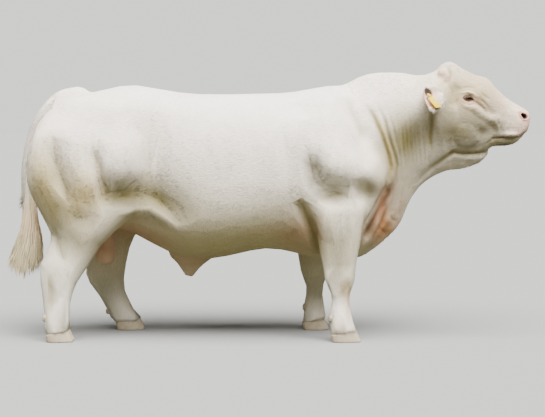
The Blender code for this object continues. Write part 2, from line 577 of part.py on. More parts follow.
def claw_rows(foot, side):
    """A claw's level sections, from above its rim down to its flat sole."""
    front, rear, y = FEET[foot]
    middle = y + side * TOE_SPREAD
    return (
        (front - 0.040, 0.100, rear - 0.010, 0.058, middle, 0.0280),
        (front - 0.024, 0.052, rear - 0.005, 0.032, middle, 0.0300),
        (front - 0.004, 0.012, rear - 0.001, 0.009, middle, 0.0310),
        (front - 0.003, 0.005, rear, 0.004, middle, 0.0308),
        (front - 0.006, 0.000, rear + 0.003, 0.000, middle, 0.0292),
    )


def with_shape(rows, wide, front_power, rear_power):
    """The rows with the same widest share and the same powers at the end of each."""
    return tuple(row + (wide, front_power, rear_power) for row in rows)


def coronet(foot, gap):
    """A cutter that fills the space under the slanting rim where the claws begin."""
    front, rear, y = FEET[foot]
    outline = (
        (front + 0.08, 0.092 - gap),
        (front - 0.030, 0.070 - gap),
        (rear - 0.006, 0.042 - gap),
        (rear - 0.08, 0.030 - gap),
        (rear - 0.08, -0.05),
        (front + 0.08, -0.05),
    )
    return prism(f"{foot}_coronet", outline, y - 0.12, y + 0.12)


def dewclaw(name, foot, side):
    """A small horn nub behind the fetlock."""
    y = FEET[foot][2] + side * DEWCLAW_SPREAD
    rear_x, rear_z = LEGS[foot][-2][2:4]
    return ellipsoid(name, rear_x + 0.012, y, rear_z - 0.004, 0.019, 0.015, 0.026, -24, segments=8)


def leg_space(foot, rows, gap):
    """The room that a leg takes: its loft a little larger, open to the outside, with its foot."""
    front, rear, y = FEET[foot]
    outward = math.copysign(1, y)
    rows = list(rows)
    rows.append((front + 0.03, 0.085, rear - 0.03, 0.080, y, 0.085, 0.5, 3.0, 3.0))
    rows.append((front + 0.03, -0.050, rear - 0.03, -0.050, y, 0.085, 0.5, 3.0, 3.0))
    space = loft(f"{foot}_space", rows, SPACE_SIDES, 2, grow=0.012 + gap)
    places = vertex_places(space.data)
    rings = rings_between(rows, 2)
    for number, ring in enumerate(rings):
        one = slice(number * SPACE_SIDES, (number + 1) * SPACE_SIDES)
        outer = (places[one, 1] - ring[4]) * outward > 0.001
        places[one, 1] = np.where(outer, outward * 0.60, places[one, 1])
    places[len(rings) * SPACE_SIDES :, 1] = outward * 0.30
    space.data.vertices.foreach_set("co", places.ravel())
    space.data.update()
    if gap:
        return grown(space, f"{foot}_room")
    return helper(space)


def ear_frame(side):
    """The ear's root and its axes: along it, across it and out of its opening."""
    mirror = Matrix.Diagonal((1, -side, 1))
    root, tip, opens = (mirror @ v for v in (EAR_ROOT, EAR_TIP, EAR_OPENS))
    along = tip - root
    length = along.length
    along.normalize()
    opens = (opens - along * opens.dot(along)).normalized()
    return root, length, along, along.cross(opens), opens


def ear(name, side, filled=False):
    """A cup: each section is a crescent, closed at the root and open from there to the tip.

    A filled ear is the cup with all that it holds, and serves to clear the head from it.
    """
    root, length, along, across, opens = ear_frame(side)
    sections = np.array(EAR_SECTIONS)
    shares = np.linspace(0, 1, 12) ** 0.9
    work = bmesh.new()
    rings = []
    angles = np.linspace(-math.pi / 2, math.pi / 2, 9)
    for share in shares:
        half, deep, hollow = (np.interp(share, sections[:, 0], sections[:, i]) for i in (1, 2, 3))
        hollow = -0.9 if filled else hollow
        middle = root + along * (share * length) + opens * (EAR_BULGE * math.sin(math.pi * share))
        rim = min(0.0065, half * 0.3)
        ring = []
        for angle in angles:
            ring.append(middle + across * (half * math.sin(angle)) - opens * (deep * math.cos(angle)))
        for angle in angles[::-1][1:-1]:
            inside = (half - rim) * math.sin(angle)
            ring.append(middle + across * inside - opens * (deep * hollow * math.cos(angle)))
        rings.append([work.verts.new(point) for point in ring])
    count = len(rings[0])
    for near, far in zip(rings, rings[1:]):
        for i in range(count):
            j = (i + 1) % count
            work.faces.new((near[i], near[j], far[j], far[i]))
    for end in (rings[0], rings[-1]):
        middle = work.verts.new(sum((v.co for v in end), Vector()) / count)
        for i in range(count):
            work.faces.new((end[i], end[(i + 1) % count], middle))
    return mesh_object(name, work)


def ear_tag(name):
    """A blank plate with a narrow neck, and the stud that holds it through the ear."""
    outline = list(TAG_OUTLINE) + [(-x, z) for x, z in reversed(TAG_OUTLINE)]
    plate = prism(name + "_plate", outline, -0.0015, 0.0015)
    studs = []
    for reach, radius, length in ((0.018, 0.0035, 0.038), (0.0365, 0.013, 0.005), (-0.002, 0.010, 0.006)):
        bpy.ops.mesh.primitive_cylinder_add(vertices=10, radius=radius, depth=length)
        stud = bpy.context.object
        stud.data.transform(Matrix.Translation((0, reach, 0)) @ Matrix.Rotation(math.pi / 2, 4, "X"))
        studs.append(stud)
    for stud in studs:
        union = plate.modifiers.new("Stud", "BOOLEAN")
        union.operation = "UNION"
        union.solver = "EXACT"
        union.object = stud
    whole = evaluated_copy(plate, name)
    remove([plate, *studs])
    return whole


def opening(name, row, side):
    """An ellipsoid cutter for the lids' opening or a nostril."""
    x, y, z, along, across, up, turn_y, turn_z = row
    cutter = ellipsoid(name, 0, 0, 0, along, across, up, 0, segments=16)
    turn = Matrix.Rotation(math.radians(side * turn_z), 4, "Z") @ Matrix.Rotation(math.radians(turn_y), 4, "Y")
    cutter.data.transform(Matrix.Translation((x, side * y, z)) @ turn)
    return helper(cutter)


def body_mass():
    pieces = [loft("torso_loft", TORSO, 48), loft("neck_loft", NECK, 40), loft("head_loft", HEAD, 40)]
    pieces += [loft("sheath_loft", SHEATH, 24), loft("scrotum_loft", SCROTUM, 24)]
    for foot, rows in LEGS.items():
        pieces.append(loft(foot + "_loft", rows))
        for side in (-1, 1):
            pieces.append(loft(foot + "_toe_loft", with_shape(toe_rows(foot, side), 0.48, 2.0, 2.2), 16))
    for number, row in enumerate(BODY_LUMPS):
        pieces += both_sides(f"lump_{number}", row)
    pieces.append(ellipsoid("crest_fat", *CREST))
    body = fused("body", pieces, BODY_VOXEL, BODY_SMOOTHING)
    body = relaxed(body, TRUNK_SMOOTHING, trunk_share)
    press_strokes(body, BODY_STROKES + JAW_STROKES)
    body = remeshed(body, "body", BODY_VOXEL, 3)
    return decimated(body, BODY_TRIANGLES)


def head_mass():
    pieces = [loft("throat_loft", NECK[4:], 40), loft("skull_loft", HEAD, 40)]
    for number, row in enumerate(HEAD_LUMPS):
        pieces += both_sides(f"head_lump_{number}", row)
    pieces.append(ellipsoid("nape_fat", *CREST))
    mass = fused("head_whole", pieces, HEAD_VOXEL, HEAD_SMOOTHING)
    press_strokes(mass, HEAD_STROKES + JAW_STROKES)
    mass = remeshed(mass, "head_whole", HEAD_VOXEL, 2)
    return decimated(mass, HEAD_TRIANGLES)


def sphere(name, x, y, z, radius):
    return ellipsoid(name, x, y, z, radius, radius, radius, 0, segments=14)


def finished(thing, name, colour, roughness, smooth=True):
    """Names the part, smooths its shading, gives it its own material and files it with the parts."""
    thing.name = name
    thing.data.name = name
    material = bpy.data.materials.new(name)
    material.use_nodes = True
    surface = material.node_tree.nodes["Principled BSDF"]
    surface.inputs["Base Color"].default_value = (*colour, 1)
    surface.inputs["Roughness"].default_value = roughness
    surface.inputs["Metallic"].default_value = 0
    thing.data.materials.clear()
    thing.data.materials.append(material)
    thing.data.polygons.foreach_set("use_smooth", [smooth] * len(thing.data.polygons))
    bpy.data.collections["charolais_bull"].objects.link(thing)
    return thing


def make_head_parts(head_space, parts):
    mass = head_mass()
    cutters, eyes, ears = [], [], []
    for side, word in ((RIGHT, "right"), (LEFT, "left")):
        eye = sphere(f"{word}_eye", EYE[0], side * EYE[1], EYE[2], EYE_RADIUS)
        cup = ear(f"{word}_ear", side)
        cutters += [grown(eye, f"{word}_eye_socket"), grown(cup, f"{word}_ear_socket")]
        cutters.append(helper(ear(f"{word}_ear_hollow", side, filled=True)))
        cutters += [opening(f"{word}_lids", LID_OPENING, side), opening(f"{word}_nostril", NOSTRIL, side)]
        eyes.append(eye)
        ears.append(cup)
    head = largest_piece(with_booleans(mass, "head", keep=[head_space], cut=cutters, solver="MANIFOLD"))
    remove([mass])
    parts["head"] = head
    parts["right_eye"], parts["left_eye"] = eyes
    parts["right_ear"], parts["left_ear"] = ears


def place_tag(parts):
    """The tag hangs over the cup of the right ear, from a button through the ear's back half."""
    tag = ear_tag("ear_tag")
    root, length, along, across, outward = ear_frame(RIGHT)
    middle = root + along * (TAG_SHARE * length) + outward * (EAR_BULGE * math.sin(math.pi * TAG_SHARE))
    place = middle + across * TAG_BACK + outward * TAG_RISE
    down = (TAG_HANGS - outward * TAG_HANGS.dot(outward)).normalized()
    sideways = down.cross(outward).normalized()
    turn = Matrix((sideways, -outward, -down)).transposed().to_4x4()
    tag.data.transform(Matrix.Translation(place) @ turn)
    if turn.determinant() < 0:
        tag.data.flip_normals()
    parts["ear_tag"] = tag
    room = grown(tag, "ear_tag_room")
    for name in ("right_ear", "head"):
        old = parts[name]
        parts[name] = largest_piece(with_booleans(old, name + "_cut", cut=[room]))
        remove([old])


def make_legs(body, parts):
    """The four legs with their claws and dewclaws; returns the rooms that they take from the trunk."""
    rooms = []
    for foot, rows in LEGS.items():
        first = 1 if "fore" in foot else 2
        space = leg_space(foot, rows[first:], 0.0)
        rooms.append(leg_space(foot, rows[first:], GAP))
        under = coronet(foot, 0.0)
        below = coronet(foot, GAP)
        sockets = []
        for side in (-1, 1):
            word = "outer" if side * FEET[foot][2] > 0 else "inner"
            claw = loft(f"{foot}_{word}_claw", with_shape(claw_rows(foot, side), 0.40, 1.55, 2.3), 14, 1)
            parts[f"{foot}_{word}_claw"] = with_booleans(claw, f"{foot}_{word}_claw_cut", keep=[below])
            remove([claw])
            nub = dewclaw(f"{foot}_{word}_dewclaw", foot, side)
            parts[f"{foot}_{word}_dewclaw"] = nub
            sockets.append(grown(nub, f"{foot}_{word}_dewclaw_socket"))
        leg = with_booleans(body, f"{foot}_leg", keep=[space], cut=[under, *sockets], solver="MANIFOLD")
        parts[f"{foot}_leg"] = largest_piece(leg)
    return rooms


def box(name, corners, gap):
    """A cutter: the box between two corners, larger by the gap on each side."""
    (low_x, low_y, low_z), (high_x, high_y, high_z) = corners
    low_x, low_z, high_x, high_z = low_x - gap, low_z - gap, high_x + gap, high_z + gap
    outline = ((low_x, low_z), (high_x, low_z), (high_x, high_z), (low_x, high_z))
    return prism(name, outline, low_y - gap, high_y + gap)


def make_trunk(body, leg_rooms, ear_rooms, parts):
    tail = loft("tail_whole", TAIL, 12, 2)
    parts["tail"] = tail
    tail_room = grown(tail, "tail_room")
    sheath_space, sheath_room = box("sheath_space", SHEATH_BOX, 0.0), box("sheath_room", SHEATH_BOX, GAP)
    scrotum_space = box("scrotum_space", SCROTUM_BOX, 0.0)
    scrotum_room = box("scrotum_room", SCROTUM_BOX, GAP)
    neck_space = beyond_line("neck_space", *NECK_LINE, 0.0)
    neck_room = beyond_line("neck_room", *NECK_LINE, GAP)
    head_room = beyond_line("head_room", *HEAD_LINE, GAP)
    cuts = [neck_room, *leg_rooms, sheath_room, scrotum_room, tail_room]
    parts["torso"] = largest_piece(with_booleans(body, "torso", cut=cuts, solver="MANIFOLD"))
    neck = with_booleans(body, "neck", keep=[neck_space], cut=[head_room, *leg_rooms, *ear_rooms])
    parts["neck"] = largest_piece(neck)
    parts["sheath"] = largest_piece(with_booleans(body, "sheath", keep=[sheath_space]))
    parts["scrotum"] = largest_piece(with_booleans(body, "scrotum", keep=[scrotum_space], cut=leg_rooms))


def lock(name, root, tip, half, thick, facing, bend):
    """A flat, tapering lock of hair that hangs from its root to its tip and bends sideways on the way."""
    across = Vector((-facing.y, facing.x, 0))
    work = bmesh.new()
    rings = []
    for share, wide in ((0.0, 0.62), (0.30, 1.0), (0.62, 0.84), (0.86, 0.46), (1.0, 0.10)):
        middle = root.lerp(tip, share) + bend * math.sin(math.pi * share)
        middle += facing * (0.04 * (root - tip).length * math.sin(math.pi * share))
        side, front = across * (half * wide), facing * (thick * min(1.0, wide * 1.6))
        rings.append([work.verts.new(middle + corner) for corner in (side, front, -side, -front)])
    for near, far in zip(rings, rings[1:]):
        for i in range(4):
            work.faces.new((near[i], near[(i + 1) % 4], far[(i + 1) % 4], far[i]))
    work.faces.new(rings[0])
    work.faces.new(rings[-1])
    return mesh_object(name, work)


def make_switch(parts):
    """Locks of hair round a short core, united, with room for the tail's end."""
    core = loft("switch_core", SWITCH, 12, 2)
    chance = random.Random(LOCK_SEED)
    locks = bpy.data.collections.new("switch_locks")
    bpy.context.scene.collection.children.link(locks)
    middle_x = np.array([[(row[0] + row[2]) / 2, row[1]] for row in SWITCH])
    for ring, row in enumerate(SWITCH_LOCKS):
        root_z, count, long_root, wide_root, tip_z, long_tip, wide_tip, half, thick = row
        root_x = np.interp(-root_z, -middle_x[:, 1], middle_x[:, 0])
        for number in range(count):
            turn = 2 * math.pi * (number + 0.5 * (ring % 2) + chance.uniform(-0.15, 0.15)) / count
            facing = Vector((math.cos(turn), math.sin(turn), 0))
            root = Vector((root_x + facing.x * long_root * 0.8, facing.y * wide_root * 0.8, root_z))
            reach = chance.uniform(0.90, 1.0)
            low = tip_z + (root_z - tip_z) * chance.uniform(0.0, 0.10)
            tip = Vector((SWITCH_TIP_X + facing.x * long_tip * reach, facing.y * wide_tip * reach, low))
            bend = Vector((chance.uniform(-0.006, 0.006), chance.uniform(-0.006, 0.006), 0))
            piece = lock(f"lock_{ring}_{number}", root, tip, half, thick, facing, bend)
            bpy.context.scene.collection.objects.unlink(piece)
            locks.objects.link(helper(piece))
    union = core.modifiers.new("Locks", "BOOLEAN")
    union.operation = "UNION"
    union.solver = "MANIFOLD"
    union.operand_type = "COLLECTION"
    union.collection = locks
    whole = evaluated_copy(core, "switch_whole")
    room = grown(parts["tail"], "tail_end_room")
    parts["tail_switch"] = largest_piece(with_booleans(whole, "tail_switch", cut=[room], solver="MANIFOLD"))
    remove([core, whole])


def centre_on_origin(things):
    """Moves all the parts level, by a millimetre or so, until their common box is centred on the origin."""
    places = np.vstack([vertex_places(thing.data) for thing in things])
    middle = (places.min(axis=0) + places.max(axis=0)) / 2
    for thing in things:
        thing.data.transform(Matrix.Translation((-middle[0], -middle[1], 0)))


def main():
    for thing in list(bpy.data.objects):
        bpy.data.objects.remove(thing)
    scene = bpy.context.scene
    bull = bpy.data.collections.new("charolais_bull")
    scene.collection.children.link(bull)
    parts = {}
    head_space = beyond_line("head_space", *HEAD_LINE, 0.0)
    make_head_parts(head_space, parts)
    place_tag(parts)
    body = body_mass()
    rooms = make_legs(body, parts)
    ear_rooms = [grown(parts[name], name + "_neck_room") for name in ("right_ear", "left_ear", "ear_tag")]
    make_trunk(body, rooms, ear_rooms, parts)
    make_switch(parts)
    remove([body])
    centre_on_origin(list(parts.values()))
    for name, thing in parts.items():
        if "claw" in name:
            finished(thing, name, HORN, 0.45)
        elif "eye" in name:
            finished(thing, name, (0.02, 0.012, 0.008), 0.08)
        elif name == "ear_tag":
            finished(thing, name, (0.85, 0.62, 0.08), 0.4)
        elif name in ("scrotum", "sheath"):
            finished(thing, name, SKIN_PINK, 0.6)
        else:
            finished(thing, name, COAT, 0.75)
    cutters = bpy.data.collections.new("cutters")
    scene.collection.children.link(cutters)
    for thing in list(scene.collection.objects):
        scene.collection.objects.unlink(thing)
        if not thing.users_collection:
            cutters.objects.link(helper(thing))


main()
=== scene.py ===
# %% [markdown]
# # A Charolais bull, dressed over its solid model
# The imported model is loaded first, as a fixed frame. The finished bull has to fill the same room.
# Everything is in metres: the bull faces +X, its right side is at -Y, and it stands on Z = 0.

# %% Load the frame
import json
import math

import bmesh
import bpy
import numpy as np
from mathutils import Matrix, Vector
from mathutils.bvhtree import BVHTree

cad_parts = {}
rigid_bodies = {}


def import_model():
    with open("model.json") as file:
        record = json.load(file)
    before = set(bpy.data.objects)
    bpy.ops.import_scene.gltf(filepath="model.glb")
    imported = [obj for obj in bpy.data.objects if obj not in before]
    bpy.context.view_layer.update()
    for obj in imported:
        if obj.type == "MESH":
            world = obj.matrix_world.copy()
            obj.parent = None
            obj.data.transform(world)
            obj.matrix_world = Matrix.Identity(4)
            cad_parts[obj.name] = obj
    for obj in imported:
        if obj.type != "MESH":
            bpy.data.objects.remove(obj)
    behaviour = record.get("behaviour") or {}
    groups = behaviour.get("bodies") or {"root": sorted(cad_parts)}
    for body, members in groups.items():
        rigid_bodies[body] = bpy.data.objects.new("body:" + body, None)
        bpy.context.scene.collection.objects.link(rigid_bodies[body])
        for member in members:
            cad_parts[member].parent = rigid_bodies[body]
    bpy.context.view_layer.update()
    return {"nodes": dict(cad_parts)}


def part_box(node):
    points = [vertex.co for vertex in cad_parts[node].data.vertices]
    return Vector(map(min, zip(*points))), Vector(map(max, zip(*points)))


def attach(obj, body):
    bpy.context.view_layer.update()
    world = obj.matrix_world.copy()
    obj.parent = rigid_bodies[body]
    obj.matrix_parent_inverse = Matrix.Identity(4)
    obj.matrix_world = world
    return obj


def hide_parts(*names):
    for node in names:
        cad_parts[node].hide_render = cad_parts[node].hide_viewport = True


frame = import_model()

RIGHT, LEFT = -1, 1
BOTH = (RIGHT, LEFT)
WORDS = {RIGHT: "right", LEFT: "left"}
for thing in bpy.data.objects:
    thing.select_set(False)

# %% [markdown]
# ## Camera, floor and light
# The photograph was taken square to the bull's right side, from about 8.3 m away and 1.2 m up, a little
# above the middle of its body. The floor is plain and pale. A picture of a sky could light the bull, but two
# lamps are easier to set: a wide soft one from above and a narrower one from the front stand in for a cloudy
# sky. The wall behind is as bright as the floor, so that no edge shows between them.

# %% Camera
camera = bpy.data.objects.new("camera", bpy.data.cameras.new("camera"))
bpy.context.scene.collection.objects.link(camera)
bpy.context.scene.camera = camera
camera.data.lens = 95.95
camera.data.sensor_width = 36
camera.location = (0.033, -8.3, 1.2)
camera.rotation_euler = (math.radians(90 - 3.25), 0, 0)
print("camera at", tuple(camera.location))

# %% Helpers for materials
def feed(tree, node, inputs):
    """Each named or numbered input gets a value, or a link from another node's output."""
    for name, value in inputs.items():
        if isinstance(value, bpy.types.NodeSocket):
            tree.links.new(value, node.inputs[name])
        else:
            node.inputs[name].default_value = value


def add_node(tree, kind, inputs=None, **settings):
    """A new node. Its settings come first, because they can change which inputs it has."""
    node = tree.nodes.new("ShaderNode" + kind)
    for name, value in settings.items():
        setattr(node, name, value)
    feed(tree, node, inputs or {})
    return node


def mix_colours(tree, share, first, second):
    inputs = {"Factor": share, "A": first, "B": second}
    return add_node(tree, "Mix", inputs, data_type="RGBA").outputs["Result"]


def new_material(name, inputs):
    """A material, its node tree and its surface, which gets these inputs."""
    material = bpy.data.materials.new(name)
    material.use_nodes = True
    tree = material.node_tree
    surface = tree.nodes["Principled BSDF"]
    feed(tree, surface, inputs)
    return material, tree, surface


# %% Floor
bpy.ops.mesh.primitive_plane_add(size=400, location=(0, 0, 0))
floor = bpy.context.object
floor.name = "floor"
floor_paint, tree, surface = new_material("floor_paint", {"Roughness": 1.0, "Specular IOR Level": 0.0})
seen = add_node(tree, "LightPath").outputs["Is Camera Ray"]
floor_tone = mix_colours(tree, seen, (0.085, 0.085, 0.060, 1), (0.260, 0.260, 0.254, 1))
feed(tree, surface, {"Base Color": floor_tone})
floor.data.materials.append(floor_paint)
print("floor:", floor.dimensions.x, "m wide")

# %% Lights
def soft_sun(name, towards, angle, strength, colour=(1, 1, 1)):
    """A light from far away, as wide as a bright part of a cloudy sky."""
    lamp = bpy.data.objects.new(name, bpy.data.lights.new(name, "SUN"))
    lamp.data.angle = math.radians(angle)
    lamp.data.energy = strength
    lamp.data.color = colour
    lamp.rotation_euler = Vector(towards).to_track_quat("Z", "Y").to_euler()
    bpy.context.scene.collection.objects.link(lamp)
    return lamp


soft_sun("sky", (0.02, -0.44, 1.0), 56, 14.8)
soft_sun("key", (0.70, -0.65, 1.1), 25, 2.4, (1.0, 0.97, 0.93))
world = bpy.data.worlds.new("studio")
bpy.context.scene.world = world
world.use_nodes = True
tree = world.node_tree
light = tree.nodes["Background"]
feed(tree, light, {"Color": (1.0, 0.97, 0.84, 1), "Strength": 0.19})
wall = add_node(tree, "Background", {"Color": (0.98, 0.98, 0.95, 1), "Strength": 1.31})
seen = add_node(tree, "LightPath").outputs["Is Camera Ray"]
shaders = {"Fac": seen, 1: light.outputs["Background"], 2: wall.outputs["Background"]}
light_or_wall = add_node(tree, "MixShader", shaders)
feed(tree, tree.nodes["World Output"], {"Surface": light_or_wall.outputs["Shader"]})
print("lights:", [lamp.name for lamp in bpy.data.lights])

# %% [markdown]
# ## The hide
# On the real bull one skin runs over everything. A boolean union of the solids would keep their facets and
# show every seam. So the solids of flesh are copied, rounded by subdivision and swollen by a few millimetres
# so that they overlap at their joins, and a voxel remesh fuses them into one even skin. The head and ears
# keep their finer faces. The eyes and two small balls at the nostrils fill those openings for now: they are
# shaped again later, on a finer mesh.

# %% Helpers for meshes
def places_of(mesh):
    places = np.empty(len(mesh.vertices) * 3, np.float32)
    mesh.vertices.foreach_get("co", places)
    return places.reshape(-1, 3).astype(float)


def normals_of(mesh):
    normals = np.empty(len(mesh.vertices) * 3, np.float32)
    mesh.vertices.foreach_get("normal", normals)
    return normals.reshape(-1, 3).astype(float)


def set_places(mesh, places):
    mesh.vertices.foreach_set("co", places.astype(np.float32).ravel())
    mesh.update()


def apply_modifiers(thing):
    for other in bpy.context.selected_objects:
        other.select_set(False)
    thing.select_set(True)
    bpy.context.view_layer.objects.active = thing
    for modifier in list(thing.modifiers):
        bpy.ops.object.modifier_apply(modifier=modifier.name)


def new_object(name, mesh):
    thing = bpy.data.objects.new(name, mesh)
    bpy.context.scene.collection.objects.link(thing)
    return thing


def merged_copy(name, nodes):
    """The CAD nodes' meshes as one, each with its loose triangles merged and swollen by its own amount."""
    whole = bmesh.new()
    for node, swell in nodes.items():
        part = bmesh.new()
        part.from_mesh(frame["nodes"][node].data)
        bmesh.ops.remove_doubles(part, verts=part.verts, dist=1e-5)
        mesh = bpy.data.meshes.new(node)
        part.to_mesh(mesh)
        part.free()
        set_places(mesh, places_of(mesh) + normals_of(mesh) * swell)
        whole.from_mesh(mesh)
        bpy.data.meshes.remove(mesh)
    mesh = bpy.data.meshes.new(name)
    whole.to_mesh(mesh)
    whole.free()
    return new_object(name, mesh)


def subdivide(thing):
    rounder = thing.modifiers.new("Round", "SUBSURF")
    rounder.levels = rounder.render_levels = 2
    apply_modifiers(thing)


SHARP = 0.95  # radians between two faces


def round_off(thing):
    """Rounds a faceted solid by subdivision. Its sharp edges stay, so that the nodes still meet there."""
    work = bmesh.new()
    work.from_mesh(thing.data)
    crease = work.edges.layers.float.new("crease_edge")
    for edge in work.edges:
        if edge.is_manifold and edge.calc_face_angle() > SHARP:
            edge[crease] = 1.0
    work.to_mesh(thing.data)
    work.free()
    subdivide(thing)


def middle_of(node):
    low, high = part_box(node)
    return (np.array(low) + np.array(high)) / 2


# %% Fuse the flesh
FEET = ("right_fore", "left_fore", "right_hind", "left_hind")
FLESH = ["torso", "neck", "head", "right_ear", "left_ear", "tail", "sheath", "scrotum"]
FLESH += [foot + "_leg" for foot in FEET]
GRID = 0.0048
BODY_SWELL, HEAD_SWELL, EYE_SWELL = 0.0035, 0.0012, 0.0022
EYES = {side: middle_of(word + "_eye") for side, word in WORDS.items()}
NOSTRILS = {side: np.array((1.447, side * 0.068, 1.253)) for side in BOTH}
HEAD = ("head", "right_ear", "left_ear")
body = merged_copy("body", {node: BODY_SWELL for node in FLESH if node not in HEAD})
round_off(body)
swells = {node: HEAD_SWELL for node in HEAD}
swells.update(right_eye=EYE_SWELL, left_eye=EYE_SWELL)
hide = merged_copy("hide", swells)
fillers = bmesh.new()
fillers.from_mesh(hide.data)
fillers.from_mesh(body.data)
bpy.data.objects.remove(body)
for side in BOTH:
    place = Matrix.Translation(NOSTRILS[side] - (0, side * 0.010, 0))
    ball = place @ Matrix.Diagonal((0.030, 0.024, 0.024, 1))
    bmesh.ops.create_icosphere(fillers, subdivisions=3, radius=1, matrix=ball)
fillers.to_mesh(hide.data)
fillers.free()
fuse = hide.modifiers.new("Fuse", "REMESH")
fuse.mode = "VOXEL"
fuse.voxel_size = GRID
apply_modifiers(hide)
print("fused hide:", len(hide.data.vertices), "points")

# %% [markdown]
# The remesh leaves small steps where the solids met. Smoothing takes them out, with a weight for each point:
# the trunk is relaxed more than the legs and the head, whose small forms have to stay.


# %% Relax it
def step_up(value, low, high):
    """0 below low, 1 above high, smooth between."""
    t = np.clip((value - low) / (high - low), 0, 1)
    return t * t * (3 - 2 * t)


def head_share(p, low=0.90, high=0.98):
    """1 on the head, 0 on the neck, over a slanting line behind the jaw."""
    return step_up(p[:, 0] + 0.29 * (p[:, 2] - 1.5), low, high)


def on_the_left(p):
    """The points, with those of the right side mirrored to the left."""
    return np.stack([p[:, 0], np.abs(p[:, 1]), p[:, 2]], axis=1)


EAR_ROOT, EAR_TIP = np.array((0.938, 0.112, 1.423)), np.array((0.906, 0.290, 1.288))
EAR_TREES = {}
for side, word in WORDS.items():
    model = merged_copy(word + "_ear_model", {word + "_ear": -0.0004})
    subdivide(model)
    corners = [v.co for v in model.data.vertices]
    EAR_TREES[side] = BVHTree.FromPolygons(corners, [p.vertices for p in model.data.polygons])
    bpy.data.objects.remove(model)


def ear_share(p):
    """1 on the ears, 0 away from them and at their roots. It goes by the distance to the solid ears."""
    share = np.zeros(len(p))
    places = on_the_left(p)
    along = (places - EAR_ROOT) @ (EAR_TIP - EAR_ROOT) / np.linalg.norm(EAR_TIP - EAR_ROOT) ** 2
    near = (np.linalg.norm(places - (EAR_ROOT + EAR_TIP) / 2, axis=1) < 0.19) & (along > 0.10)
    for number in np.flatnonzero(near):
        side = LEFT if p[number, 1] > 0 else RIGHT
        share[number] = EAR_TREES[side].find_nearest(Vector(p[number]))[3]
    return np.where(near, (1 - step_up(share, 0.003, 0.009)) * step_up(along, 0.12, 0.30), 0)


def before_tail(p, high):
    """0 on the tail, 1 before it."""
    return step_up(p[:, 0] - 0.35 * (p[:, 2] - 1.0), -1.34, high)


def trunk_share(p):
    """1 on the trunk and neck, falling to 0 on the head, ears, legs, tail and sheath."""
    share = (1 - head_share(p, 0.84, 0.93)) * before_tail(p, -1.28)
    return share * step_up(p[:, 2], 0.58, 0.74) * (1 - ear_share(p))


def relax(thing, rounds, weights):
    group = thing.vertex_groups.new(name="relax")
    for level in range(1, 11):
        chosen = np.flatnonzero(np.round(weights * 10).astype(int) == level)
        group.add(chosen.tolist(), level / 10, "REPLACE")
    smooth = thing.modifiers.new("Relax", "SMOOTH")
    smooth.factor = 0.5
    smooth.iterations = rounds
    smooth.vertex_group = "relax"
    apply_modifiers(thing)
    thing.vertex_groups.clear()


places = places_of(hide.data)
relax(hide, 3, 1 - ear_share(places))
relax(hide, 50, trunk_share(places))
relax(hide, 26, 1 - step_up(places[:, 2], 0.60, 0.74))
relax(hide, 6, head_share(places) * (1 - ear_share(places)))
print("relaxed")

# %% [markdown]
# ## Muscles and folds
# The muscles are soft swellings and hollows, each with its middle, its reach and its height, as if pressed
# by a thumb from the side. Lines are grooves and ridges that fade at both ends. A crease is a narrow groove
# with a rounded lip of skin along one edge of it. All of this could be sculpted by hand, but a list of soft
# shapes can be read and changed, and it serves both sides of the bull.


# %% Swellings and lines
def along_path(x, z, path):
    """The points' distances to a line, seen from the side, and how far along it they are, from 0 to 1."""
    path = np.array(path)
    lengths = np.hypot(*np.diff(path, axis=0).T)
    starts = np.concatenate([[0], np.cumsum(lengths)])
    nearest, along = np.full(len(x), np.inf), np.zeros(len(x))
    for (ax, az), (bx, bz), length, start in zip(path, path[1:], lengths, starts):
        share = np.clip(((x - ax) * (bx - ax) + (z - az) * (bz - az)) / length**2, 0, 1)
        away = np.hypot(x - ax - share * (bx - ax), z - az - share * (bz - az))
        along = np.where(away < nearest, start + share * length, along)
        nearest = np.minimum(nearest, away)
    return nearest, along / starts[-1]


def distance_to_path(x, z, path):
    return along_path(x, z, path)[0]


def facing_side(places, normals, side):
    """1 where the surface faces a side, and 0 on top, below and on the other half."""
    return np.clip(normals[:, 1] * side * 2.0 + 0.15, 0, 1) * (places[:, 1] * side > 0.01)


def swell(thing, swellings):
    """Soft ellipses: sides, middle x and z, reach along and up, lean back in degrees, height, and edge."""
    places, normals = places_of(thing.data), normals_of(thing.data)
    moves = np.zeros(len(places))
    for sides, x, z, along, up, lean, height, edge in swellings:
        turn = math.radians(lean)
        u = (places[:, 0] - x) * math.cos(turn) + (places[:, 2] - z) * math.sin(turn)
        v = (places[:, 2] - z) * math.cos(turn) - (places[:, 0] - x) * math.sin(turn)
        bell = np.exp(-(((u / along) ** 2 + (v / up) ** 2) ** edge))
        for side in sides:
            moves += height * bell * facing_side(places, normals, side)
    set_places(thing.data, places + normals * moves[:, None])


def draw_lines(thing, lines):
    """Grooves (-) and ridges (+): sides, radius, height and the path's x, z points."""
    places, normals = places_of(thing.data), normals_of(thing.data)
    moves = np.zeros(len(places))
    for sides, radius, height, path in lines:
        away, along = along_path(places[:, 0], places[:, 2], path)
        bell = np.exp(-((away / radius) ** 2)) * step_up(np.minimum(along, 1 - along), -0.12, 0.30)
        for side in sides:
            moves += height * bell * facing_side(places, normals, side)
    set_places(thing.data, places + normals * moves[:, None])


def creases(rows):
    """Two lines for each row: the groove, and a lip that is shifted to one side of it."""
    lines = []
    for sides, radius, depth, (shift_x, shift_z), path in rows:
        lines.append((sides, radius, -depth, path))
        lines.append((sides, radius * 1.5, depth * 0.7, [(x + shift_x, z + shift_z) for x, z in path]))
    return lines


